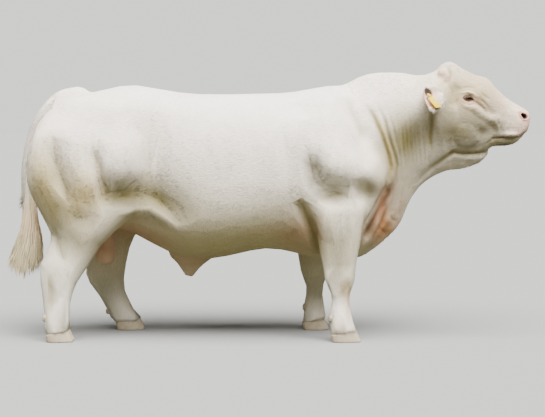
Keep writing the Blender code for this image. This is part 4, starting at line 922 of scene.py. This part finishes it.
# Painted shade at the bottom of the ear's cup.
colours = blend(colours, srgb(34, 16, 12), 0.98 * ear_hole(places) * (in_the_cup(places, normals) > 0.05))
store_colours(hide.data, "hide_colour", colours)
hide.data.attributes.new("bare", "FLOAT", "POINT")
hide.data.attributes["bare"].data.foreach_set("value", bare.astype(np.float32))
hide.data.shade_smooth()
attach(hide, "root")
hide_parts(*FLESH)

# %% [markdown]
# ## Hide material
# Short hair is mostly a fine bump. Two noises, stretched along the trunk and down the legs, give its
# streaks; a third moves the colour a little from place to place. Bare skin has fine pores instead, and it is
# shinier.


# %% Node group: short hair
def noise(tree, vector, scale, detail, roughness):
    inputs = {"Vector": vector, "Scale": scale, "Detail": detail, "Roughness": roughness}
    return add_node(tree, "TexNoise", inputs).outputs["Fac"]


def rescale(tree, value, given, wanted=(0, 1)):
    """Maps the given range of values to the wanted one."""
    inputs = {"Value": value, "From Min": given[0], "From Max": given[1]}
    inputs.update({"To Min": wanted[0], "To Max": wanted[1]})
    return add_node(tree, "MapRange", inputs).outputs["Result"]


def bump(tree, height, strength, distance):
    inputs = {"Height": height, "Strength": strength, "Distance": distance}
    return add_node(tree, "Bump", inputs).outputs["Normal"]


def hair_group():
    group = bpy.data.node_groups.new("short_hair", "ShaderNodeTree")
    for name, way, kind in (
        ("Colour", "INPUT", "Color"), ("Bare", "INPUT", "Float"),
        ("Colour", "OUTPUT", "Color"), ("Roughness", "OUTPUT", "Float"), ("Height", "OUTPUT", "Float"),
    ):
        group.interface.new_socket(name, in_out=way, socket_type="NodeSocket" + kind)
    given, out = group.nodes.new("NodeGroupInput").outputs, group.nodes.new("NodeGroupOutput")
    where = add_node(group, "TexCoord").outputs["Object"]
    hairs = []
    for stretch in ((40, 190, 120), (190, 190, 36)):
        turn = {"Vector": where, "Scale": stretch, "Rotation": (0, math.radians(18), 0)}
        stretched = add_node(group, "Mapping", turn).outputs["Vector"]
        hairs.append(noise(group, stretched, 1.0, 5.0, 0.6))
    height = add_node(group, "SeparateXYZ", {"Vector": where}).outputs["Z"]
    leg = rescale(group, height, (0.85, 0.60))
    streaks = add_node(group, "Mix", {"Factor": leg, "A": hairs[0], "B": hairs[1]}).outputs["Result"]
    pores = noise(group, where, 260, 3.0, 0.6)
    relief = add_node(group, "Mix", {"Factor": given["Bare"], "A": streaks, "B": pores}).outputs["Result"]
    shade = rescale(group, noise(group, where, 7.0, 5.0, 0.6), (0.3, 0.7), (0.93, 1.04))
    fine = rescale(group, relief, (0.3, 0.7), (0.88, 1.06))
    both = add_node(group, "Math", {0: shade, 1: fine}, operation="MULTIPLY").outputs["Value"]
    tint = add_node(group, "VectorMath", {"Vector": given["Colour"], "Scale": both}, operation="SCALE")
    roughness = rescale(group, given["Bare"], (0, 1), (0.78, 0.48))
    feed(group, out, {"Colour": tint.outputs["Vector"], "Roughness": roughness, "Height": relief})
    return group


SHORT_HAIR = hair_group()
print("hair group:", len(SHORT_HAIR.nodes), "nodes")


# %% Hide material
def hair_material(name, relief, sheen):
    looks = {"Specular IOR Level": 0.25, "Sheen Weight": sheen, "Sheen Roughness": 0.5}
    material, tree, surface = new_material(name, looks)
    colour = add_node(tree, "Attribute", attribute_name="hide_colour").outputs["Color"]
    bare = add_node(tree, "Attribute", attribute_name="bare").outputs["Fac"]
    hair = add_node(tree, "Group", {"Colour": colour, "Bare": bare}, node_tree=SHORT_HAIR).outputs
    normal = bump(tree, hair["Height"], relief, 0.004)
    feed(tree, surface, {"Base Color": hair["Colour"], "Roughness": hair["Roughness"], "Normal": normal})
    return material


hide_material = hair_material("hide", 0.55, 0.04)
hide.data.materials.clear()
hide.data.materials.append(hide_material)
print("hide material:", hide_material.name)

# %% [markdown]
# ## Tufts
# Blender can grow hair as curves, but this coat has to travel as meshes. So each tuft is a thin, three-sided
# blade that is closed at its root and runs to a point. Its root sits in the hide, it takes the hide's colour
# there, and it lies along the lie of the coat. On the real bull the hair is longest on the poll, ears, chin,
# crest, belly line and tail and round the hooves.


# %% Scatter and comb
hide.data.calc_loop_triangles()
CORNERS = np.empty(len(hide.data.loop_triangles) * 3, np.int32)
hide.data.loop_triangles.foreach_get("vertices", CORNERS)
CORNERS = CORNERS.reshape(-1, 3)
HIDE = {"place": places, "normal": normals, "colour": colours, "bare": bare[:, None]}
EDGES = places[CORNERS[:, 1]] - places[CORNERS[:, 0]], places[CORNERS[:, 2]] - places[CORNERS[:, 0]]
AREAS = np.linalg.norm(np.cross(*EDGES), axis=1) / 2
MIDDLES = places[CORNERS].mean(axis=1)
FEWER = 1


def scatter(count, density, seed):
    """Random places on the hide, more where the density is higher, with the hide's values there."""
    chance = np.random.default_rng(seed)
    weights = AREAS * density(MIDDLES)
    chosen = CORNERS[chance.choice(len(AREAS), count // FEWER, p=weights / weights.sum())]
    shares = chance.dirichlet((1, 1, 1), len(chosen))
    roots = {name: (values[chosen] * shares[:, :, None]).sum(axis=1) for name, values in HIDE.items()}
    roots["normal"] /= np.linalg.norm(roots["normal"], axis=1)[:, None]
    return roots, chance


def forehead_share(p, low, high):
    """1 on the upper front of the head, over a line that slants with the face."""
    return step_up(p[:, 2] - 0.55 * (1.30 - p[:, 0]), low, high) * head_share(p)


def lie_of_coat(p):
    """The way the hair points: back over the trunk, down the legs and cheeks, up the forehead."""
    flow = np.array((-1.0, 0.0, -0.42))
    for share, way in (
        (1 - step_up(p[:, 2], 0.62, 0.86), (-0.18, 0.0, -1.0)),
        (head_share(p), (-0.55, 0.0, -0.75)),
        (forehead_share(p, 1.40, 1.46), (-0.75, 0.0, 0.55)),
        (1 - before_tail(p, -1.30), (-0.15, 0.0, -1.0)),
        (ear_share(p), mirrored(p, -0.15, 0.75, -0.65)),
    ):
        flow = flow * (1 - share[:, None]) + np.array(way) * share[:, None]
    return flow


LEG_TOP = 0.62


def unwrap(p):
    """The hide's own unwrap: along the body and round it; the legs lie in four columns below."""
    along = (p[:, 0] + 1.52) / 3.05
    round_body = np.arctan2(p[:, 1], p[:, 2] - 0.95) / (2 * math.pi) + 0.5
    trunk = np.stack([along, 0.40 + 0.595 * round_body], axis=1)
    left, fore = p[:, 1] > 0, p[:, 0] > -0.3
    middle_x = np.where(fore, np.where(left, 0.28, 0.42), np.where(left, -0.90, -1.14))
    round_leg = np.arctan2(np.abs(p[:, 1]) - 0.24, p[:, 0] - middle_x) / (2 * math.pi) + 0.5
    column = left * 1.0 + fore * 2.0
    legs = np.stack([(column + 0.03 + 0.94 * round_leg) / 4, p[:, 2] / LEG_TOP * 0.385], axis=1)
    on_leg = (p[:, 2] < LEG_TOP) & (np.abs(p[:, 1]) > 0.11)
    return np.where(on_leg[:, None], legs, trunk)


# %% [markdown]
# Short fur is made of the plainest closed blade there is, with three points at its root and one at its tip.
# Long hair gets a bend in its middle. Each blade takes the hide's normals, turned a little to its own sides,
# so that light falls on the coat as on one soft surface and not on thousands of little facets.


# %% Blades
tuft_material = hair_material("tufts", 0.15, 0.05)
SHORT = {
    "faces": ((0, 2, 1), (0, 1, 3), (1, 2, 3), (2, 0, 3)),
    "patch": ((0, 0), (1, 0), (0.5, 0.3), (0.5, 1)),
    "tone": (0.94, 0.94, 0.96, 1.0),
}
LONG = {
    "faces": ((0, 2, 1), (0, 1, 4), (0, 4, 3), (1, 2, 5), (1, 5, 4), (2, 0, 3), (2, 3, 5),
              (3, 4, 6), (4, 5, 6), (5, 3, 6)),
    "patch": ((0, 0), (1, 0), (0.5, 0.3), (0.1, 0.6), (0.9, 0.6), (0.5, 0.8), (0.5, 1)),
    "tone": (0.93, 0.93, 0.96, 1.0, 1.0, 1.02, 1.05),
}


def coat_piece(name, points, pattern, tint, normals, uv):
    """One mesh of many alike blades. All arrays have a row for each blade and a column for each point.
    Blades that stand out are seen from below too, so they get no normals and keep their own."""
    count, size = points.shape[:2]
    faces = (np.array(pattern)[None] + (np.arange(count) * size)[:, None, None]).reshape(-1, 3)
    mesh = bpy.data.meshes.new(name)
    mesh.vertices.add(count * size)
    mesh.loops.add(len(faces) * 3)
    mesh.polygons.add(len(faces))
    mesh.vertices.foreach_set("co", points.astype(np.float32).ravel())
    mesh.loops.foreach_set("vertex_index", faces.astype(np.int32).ravel())
    mesh.polygons.foreach_set("loop_start", np.arange(0, len(faces) * 3, 3, dtype=np.int32))
    mesh.update(calc_edges=True)
    store_colours(mesh, "hide_colour", np.clip(tint, 0, 1).reshape(-1, 3))
    mesh.attributes.new("bare", "FLOAT", "POINT")
    corner_uv = uv.reshape(-1, 2)[faces.ravel()].astype(np.float32)
    mesh.uv_layers.new(name="OFBake")
    mesh.uv_layers["OFBake"].data.foreach_set("uv", corner_uv.ravel())
    mesh.shade_smooth()
    if normals is not None:
        normals = normals / np.linalg.norm(normals, axis=2)[:, :, None]
        mesh.normals_split_custom_set_from_vertices(normals.reshape(-1, 3).tolist())
    thing = new_object(name, mesh)
    thing.data.materials.append(tuft_material)
    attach(thing, "root")
    print(name + ":", count, "blades,", len(faces), "triangles")
    return thing


def ripples(p, seed):
    """Slow waves over the coat, so that neighbouring hairs turn together."""
    chance = np.random.default_rng(seed)
    total = np.zeros_like(p)
    for size in (55, 90, 140, 210):
        directions, phases = chance.normal(0, size, (3, 3)), chance.uniform(0, 6, 3)
        total += np.sin(p @ directions.T + phases)
    return total / 2


def tufts(name, roots, chance, length, width, lift, wave=0.12, flow=None, shade=0.04, blade=SHORT, soft=True):
    """A coat piece of blades at the roots. lift is how steeply they rise, and wave how much they turn."""
    p, n = roots["place"], roots["normal"]
    count = len(p)
    flow = lie_of_coat(p) if flow is None else flow
    flow = flow + ripples(p, 5) * wave + chance.normal(0, wave * 0.6, (count, 3))
    lie = flow - n * (flow * n).sum(axis=1)[:, None]
    lie /= np.linalg.norm(lie, axis=1)[:, None] + 1e-9
    across = np.cross(n, lie)
    length, width, lift = (np.broadcast_to(v, count) for v in (length, width, lift))
    length = (length * chance.uniform(0.7, 1.25, count))[:, None]
    width = (width * chance.uniform(0.7, 1.2, count))[:, None]
    lift = lift[:, None] * chance.uniform(0.5, 1.4, (count, 1))
    sway = across * chance.normal(0, 0.10, (count, 1)) * length
    root = p - n * 0.0012
    middle = p + lie * length * 0.5 + n * length * lift * 0.55 + sway * 0.4
    tip = p + lie * length + n * length * lift * 0.80 + sway
    half, thick = across * width / 2, n * (width * 0.32 + 0.0009)
    points = [root - half, root + half, root + thick]
    if blade is SHORT:
        sides = [n - across * 0.4, n + across * 0.4, n, n + lie * 0.25]
    else:
        points += [middle - half, middle + half, middle + thick * 0.7]
        sides = [n - across * 0.6, n + across * 0.6, n] * 2 + [n + lie * 0.4]
    points.append(tip)
    tint = roots["colour"] * (1 + chance.normal(0, shade, (count, 1)))
    tint = tint[:, None] * np.array(blade["tone"])[None, :, None]
    uv = unwrap(p)[:, None, :] + np.array(blade["patch"])[None] * 0.003
    sides = np.stack(sides, axis=1) if soft else None
    return coat_piece(name, np.stack(points, axis=1), blade["faces"], tint, sides, uv)


def furred(p):
    """1 where hair grows; 0 on the bare nose, lids, sheath and scrotum, and in the mouth's line."""
    lids = np.exp(-((eye_distance(p) / 0.030) ** 6))
    pits = np.exp(-((nostril_distance(p) / 0.028) ** 6))
    return np.clip(1 - 1.3 * np.maximum.reduce([skin_share(p), lids, pits]), 0, 1)


def trunk_zone(p):
    return (1 - head_share(p, 0.88, 0.92)) * (p[:, 2] > 0.60) * (1 - ear_share(p)) * furred(p)


# %% [markdown]
# The hair isn't alike everywhere: it lies short and flat on the trunk, face and legs, stands a little longer
# on crest and brisket, curls on the poll, and hangs from the chin, the ears' rims and the tail. One scatter
# over the whole hide would need all of this in one rule, so each region gets a scatter of its own.


# %% Trunk
for side, word in WORDS.items():
    roots, chance = scatter(47000, lambda p: trunk_zone(p) * (p[:, 1] * side > 0), 10 + side)
    belly = 1 - step_up(roots["place"][:, 2], 0.48, 0.60)
    tufts(word + "_trunk_coat", roots, chance, 0.014 + 0.010 * belly, 0.0019, 0.05 + 0.08 * belly, shade=0.03)

# %% Neck and brisket
def crest_zone(p):
    x, z = p[:, 0], p[:, 2]
    crest = step_up(x, 0.30, 0.55) * (1 - head_share(p, 0.90, 0.94)) * step_up(z, 1.36, 1.44)
    brisket = step_up(x, 0.50, 0.60) * (1 - step_up(z - 0.9 * (x - 0.5), 0.60, 0.72)) * (z > 0.40)
    throat = step_up(x, 0.72, 0.80) * (1 - step_up(z - 0.55 * (x - 0.8), 0.90, 0.98))
    return (crest + 0.6 * brisket + 0.5 * throat) * (1 - ear_share(p)) * furred(p)


roots, chance = scatter(16000, crest_zone, 21)
tufts("crest_coat", roots, chance, 0.018, 0.0018, 0.07, wave=0.18, shade=0.03, blade=LONG)

# %% Head
roots, chance = scatter(44000, lambda p: head_share(p) * (1 - ear_share(p)) * furred(p), 31)
muzzle = step_up(roots["place"][:, 0], 1.15, 1.42)
tufts("face_coat", roots, chance, 0.0090 - 0.0040 * muzzle, 0.0012 - 0.0004 * muzzle, 0.035, wave=0.09)


def poll_zone(p):
    forehead = forehead_share(p, 1.36, 1.50) * (1 - step_up(p[:, 0], 1.10, 1.30))
    return forehead * furred(p) * np.exp(-((p[:, 1] / 0.11) ** 4))


roots, chance = scatter(9000, poll_zone, 32)
deep = poll_zone(roots["place"])
tufts("poll_coat", roots, chance, 0.010 + 0.008 * deep, 0.0018, 0.08 + 0.14 * deep, wave=0.40, blade=LONG)


def jaw_zone(p):
    chin = np.exp(-spot(p, (1.40, 0.0, 1.10), (0.08, 0.08, 0.022)))
    jaw = np.exp(-spot(p, (1.22, 0.0, 1.02), (0.10, 0.12, 0.035)))
    return (chin + 0.7 * jaw) * furred(p)


roots, chance = scatter(1800, jaw_zone, 33)
tufts("chin_coat", roots, chance, 0.015, 0.0011, 0.35, wave=0.25, blade=LONG, soft=False)


# %% Lashes
def lash_zone(p):
    """The edge of the upper lids."""
    share = np.zeros(len(p))
    for side in BOTH:
        u, v, w, almond = lid_place(p, side)
        near = (np.linalg.norm(p - EYES[side], axis=1) < 0.032) & (w > 0) & (v > 0.002)
        share += near * np.exp(-(((almond - 1.25) / 0.20) ** 2))
    return share


roots, chance = scatter(340, lash_zone, 34)
flow = mirrored(roots["place"], 0.25, 0.9, -0.5)
roots["colour"] = blend(roots["colour"], srgb(134, 108, 90), np.full(len(flow), 0.8))
tufts("lashes", roots, chance, 0.012, 0.0007, 0.9, wave=0.10, flow=flow, blade=LONG, soft=False)

# %% Ears
roots, chance = scatter(20000, lambda p: ear_share(p) * (1 - ear_hole(p)), 41)
inside = in_the_cup(roots["place"], roots["normal"])
roots["colour"] = blend(roots["colour"], WHITE, 0.35 * inside)
length, width, lift = 0.011 - 0.004 * inside, 0.0013 - 0.0004 * inside, 0.08 + 0.06 * inside
tufts("ear_coat", roots, chance, length, width, lift, wave=0.2)


def ear_fringe(p):
    """The front and upper rim of the ear, and its tip."""
    front = step_up(p[:, 0], 0.945, 0.970) * step_up(p[:, 2], 1.31, 1.34)
    return ear_share(p) * np.clip(front + 0.20 * (1 - step_up(p[:, 2], 1.295, 1.315)), 0, 1)


roots, chance = scatter(3400, ear_fringe, 42)
flow = mirrored(roots["place"], 0.10, 0.45, -0.95)
roots["colour"] = blend(roots["colour"], WHITE, np.full(len(flow), 0.8))
tufts("ear_fringe", roots, chance, 0.030, 0.0014, 0.16, wave=0.18, flow=flow, blade=LONG, soft=False)

# %% Legs and tail
def leg_zone(p):
    """The legs, with the hair at the feet three times as thick."""
    feet = 1 - step_up(p[:, 2], 0.09, 0.20)
    return (p[:, 2] < 0.66) * (np.abs(p[:, 1]) > 0.11) * furred(p) * (0.6 + 1.2 * feet)


roots, chance = scatter(46000, leg_zone, 51)
low = 1 - step_up(roots["place"][:, 2], 0.07, 0.16)
tufts("leg_coat", roots, chance, 0.010 + 0.013 * low, 0.0014, 0.06 + 0.05 * low)


def tail_zone(p):
    return (1 - before_tail(p, -1.31)) * (p[:, 2] > 0.62)


roots, chance = scatter(9000, tail_zone, 61)
low = 1 - step_up(roots["place"][:, 2], 0.78, 1.15)
tufts("tail_coat", roots, chance, 0.013 + 0.050 * low, 0.0018 + 0.0006 * low, 0.07 + 0.06 * low, blade=LONG)

# %% [markdown]
# ## The switch
# The switch is a brush of long, coarse hair. Fine strands alone would let the light through it, and wide
# locks alone would look like leaves. So wide locks fill it, and thinner strands lie over them; all start
# round the tail's end, swing out and back in, and end at different heights.


# %% Locks of the switch
# Each row is a height, the x of the rear and of the front there, and half of the width.
SWITCH = np.array((
    (0.90, -1.402, -1.322, 0.030), (0.75, -1.398, -1.312, 0.034), (0.634, -1.405, -1.300, 0.046),
    (0.55, -1.437, -1.282, 0.060), (0.434, -1.488, -1.276, 0.070), (0.37, -1.500, -1.280, 0.068),
    (0.29, -1.496, -1.296, 0.058),
))


def strands(name, count, wide, seed, inner):
    """Long flat blades from the end of the tail to the switch's tips."""
    chance = np.random.default_rng(seed)
    count = max(12, count // FEWER)
    turn = chance.uniform(0, 2 * math.pi, count)
    depth = np.sqrt(chance.uniform(inner, 1, count))
    start = chance.uniform(0.56, 0.86, count)
    end = 0.300 + (start - 0.56) * 0.55 + chance.uniform(0, 0.07, count) + 0.05 * np.abs(np.cos(turn))
    steps = np.linspace(0, 1, 8)
    heights = start[:, None] + (end - start)[:, None] * steps
    rear, front, across = (np.interp(-heights, -SWITCH[:, 0], column) for column in SWITCH.T[1:])
    spread = depth[:, None] * (0.80 + 0.20 * steps)
    x = (rear + front) / 2 + (front - rear) / 2 * np.cos(turn)[:, None] * spread
    y = across * np.sin(turn)[:, None] * spread
    drift = chance.normal(0, 0.004, (count, 1)) * np.sin(steps * 5 + chance.uniform(0, 6, (count, 1)))
    middle = np.stack([x + drift, y - drift, heights], axis=2)
    facing = np.stack([np.cos(turn), np.sin(turn), np.zeros(count)], axis=1)
    sideways = np.stack([-np.sin(turn), np.cos(turn), np.zeros(count)], axis=1)
    taper = np.interp(steps, (0, 0.3, 0.7, 1), (0.55, 1, 0.8, 0.06))
    half = wide * chance.uniform(0.6, 1.3, (count, 1, 1)) * taper[None, :, None]
    a, b = sideways[:, None] * half, facing[:, None] * half * 0.30
    points = np.stack([middle - a, middle - b, middle + a, middle + b], axis=2).reshape(count, -1, 3)
    aside = np.tile((-0.8, 0.0, 0.8, 0.0), len(steps))[:, None]
    outward = np.tile((0.5, -1.0, 0.5, 1.0), len(steps))[:, None]
    normals = facing[:, None] * outward + sideways[:, None] * aside + (0, 0, 0.2)
    faces = []
    for ring in range(len(steps) - 1):
        for i in range(4):
            j, base = (i + 1) % 4, ring * 4
            faces += [(base + i, base + j, base + 4 + j), (base + i, base + 4 + j, base + 4 + i)]
    last = (len(steps) - 1) * 4
    faces += [(0, 2, 1), (0, 3, 2), (last, last + 1, last + 2), (last, last + 2, last + 3)]
    tone = np.clip((heights - 0.30) / 0.45, 0, 1)[:, :, None]
    warm = np.exp(-(((heights - 0.64) / 0.12) ** 2))[:, :, None] * 0.45
    tint = np.array(srgb(206, 192, 152)) * (1 - tone) + np.array(srgb(214, 198, 164)) * tone
    tint = tint * (1 - warm) + np.array(srgb(208, 176, 140)) * warm
    tint = np.repeat(tint * (1 + chance.normal(0, 0.06, (count, 1, 1))), 4, axis=1)
    root_uv = np.stack([turn / (2 * math.pi) * 0.99, (start - 0.5) * 2.5], axis=1)
    patch = np.stack([np.tile((0, 0.33, 0.66, 1), len(steps)), np.repeat(steps, 4)], axis=1) * 0.003
    return coat_piece(name, points, faces, tint, normals, root_uv[:, None] + patch[None])


locks = strands("switch_locks", 420, 0.0085, 71, 0.0)
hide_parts("tail_switch")
strands("switch_strands", 2600, 0.0018, 72, 0.45)

# %% [markdown]
# ## Eyes
# The eyeball is wet and nearly black: a brown iris surrounds a wide, level pupil, and only a thin rim of
# white is ever in sight. An iris could be drawn as a picture, but its rings are simple enough to work out
# from each point's place. They are stored on the points of a fine ball with a slightly bulging cornea.


# %% Eyes
wet = {"Roughness": 0.12, "Specular IOR Level": 0.2, "Coat Weight": 0.45, "Coat Roughness": 0.03}
eye_material, tree, surface = new_material("eye", {"Base Color": (0.02, 0.012, 0.008, 1), **wet})
eye_colour = add_node(tree, "Attribute", attribute_name="eye_colour").outputs["Color"]
feed(tree, surface, {"Base Color": eye_colour})
for side, word in WORDS.items():
    bpy.ops.mesh.primitive_uv_sphere_add(segments=64, ring_count=48, radius=EYE_RADIUS - 0.0002)
    ball = bpy.context.object
    ball.name = word + "_eyeball"
    out, forward, up = eye_axes(side)
    local = places_of(ball.data)
    angle = np.arccos(np.clip(local[:, 2] / np.linalg.norm(local, axis=1), -1, 1))
    local *= (1 + 0.045 * (1 - step_up(angle, 0.15, 0.62)))[:, None]
    turned = local[:, :1] * forward + local[:, 1:2] * up + local[:, 2:] * out
    pupil = np.hypot(local[:, 0] / 0.0082, local[:, 1] / 0.0046)
    iris = np.hypot(local[:, 0], local[:, 1]) / 0.0150
    streak = 0.8 + 0.35 * np.sin(np.arctan2(local[:, 1], local[:, 0]) * 23) * 0.5
    tint = np.tile(srgb(168, 150, 138), (len(local), 1))
    tint = blend(tint, srgb(30, 18, 12), 1 - step_up(iris, 1.0, 1.12))
    tint = blend(tint, srgb(86, 52, 30), (1 - step_up(iris, 0.80, 0.98)) * streak)
    tint = blend(tint, srgb(8, 6, 8), 1 - step_up(pupil, 0.9, 1.15))
    tint[local[:, 2] < 0] = srgb(168, 150, 138)
    set_places(ball.data, turned + EYES[side])
    if side == LEFT:
        ball.data.flip_normals()
    store_colours(ball.data, "eye_colour", tint)
    ball.data.shade_smooth()
    ball.data.materials.append(eye_material)
    ball.location = (0, 0, 0)
    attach(ball, "root")
    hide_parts(word + "_eye")
    print(ball.name + ":", len(local), "points")

# %% [markdown]
# ## Claws and dewclaws
# The horn of each claw is rounded at its edges and ringed where it grew. A bevel would round each edge of
# the solid by itself. A fine remesh that is relaxed a little rounds them all together, and the rings are a
# bump that follows the claw's height.

# %% Horn material
def opaque(red, green, blue):
    return (*srgb(red, green, blue), 1)


horn, tree, surface = new_material("horn", {"Roughness": 0.42})
where = add_node(tree, "TexCoord").outputs["Object"]
turn = {"Vector": where, "Rotation": (0, math.radians(12), 0)}
turned = add_node(tree, "Mapping", turn).outputs["Vector"]
waves = {"Vector": turned, "Scale": 26, "Distortion": 1.2, "Detail": 3}
rings = add_node(tree, "TexWave", waves, bands_direction="Z").outputs["Fac"]
cloudy = noise(tree, where, 45, 6, 0.65)
horn_tone = mix_colours(tree, cloudy, opaque(140, 124, 100), opaque(206, 192, 166))
feed(tree, surface, {"Base Color": horn_tone, "Normal": bump(tree, rings, 0.20, 0.0010)})
print("horn material:", len(tree.nodes), "nodes")

# %% Claws
for foot in FEET:
    whole = bmesh.new()
    nodes = [f"{foot}_{word}_{kind}" for word in ("outer", "inner") for kind in ("claw", "dewclaw")]
    for node in nodes:
        piece = merged_copy(node + "_horn", {node: 0.0})
        grid = piece.modifiers.new("Fine", "REMESH")
        grid.mode = "VOXEL"
        grid.voxel_size = 0.0022
        soften = piece.modifiers.new("Round", "SMOOTH")
        soften.factor = 0.5
        soften.iterations = 8
        fewer = piece.modifiers.new("Fewer", "DECIMATE")
        fewer.ratio = 0.25
        fewer.use_collapse_triangulate = True
        apply_modifiers(piece)
        whole.from_mesh(piece.data)
        bpy.data.objects.remove(piece)
    mesh = bpy.data.meshes.new(foot + "_horn")
    whole.to_mesh(mesh)
    whole.free()
    claws = new_object(foot + "_horn", mesh)
    claws.data.shade_smooth()
    claws.data.materials.append(horn)
    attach(claws, "root")
    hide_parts(*nodes)
    print(claws.name, len(mesh.polygons), "faces")

# %% [markdown]
# ## Ear tag
# The tag is a plain yellow plate of soft plastic. The solid one keeps its shape. Its blank middle is paler
# and its edges are darker. A fine noise gives it specks of dirt, which are duller than the plastic.

# %% Tag
tag_material, tree, surface = new_material("tag", {"Base Color": opaque(236, 200, 70), "Roughness": 0.35})
where = add_node(tree, "TexCoord").outputs["Object"]
shift = {"Vector": where, "Location": Vector(middle_of("ear_tag")) * -1}
from_middle = add_node(tree, "Mapping", shift).outputs["Vector"]
away = add_node(tree, "VectorMath", {0: from_middle}, operation="LENGTH").outputs["Value"]
to_edge = rescale(tree, away, (0.012, 0.050))
yellow = mix_colours(tree, to_edge, opaque(212, 188, 52), opaque(194, 164, 26))
dirt = noise(tree, where, 120, 6, 0.7)
dirty = mix_colours(tree, rescale(tree, dirt, (0.55, 0.80), (0, 0.5)), yellow, opaque(150, 120, 70))
dull = rescale(tree, dirt, (0, 1), (0.30, 0.55))
feed(tree, surface, {"Base Color": dirty, "Roughness": dull})
tag = frame["nodes"]["ear_tag"]
tag.data.materials.clear()
tag.data.materials.append(tag_material)
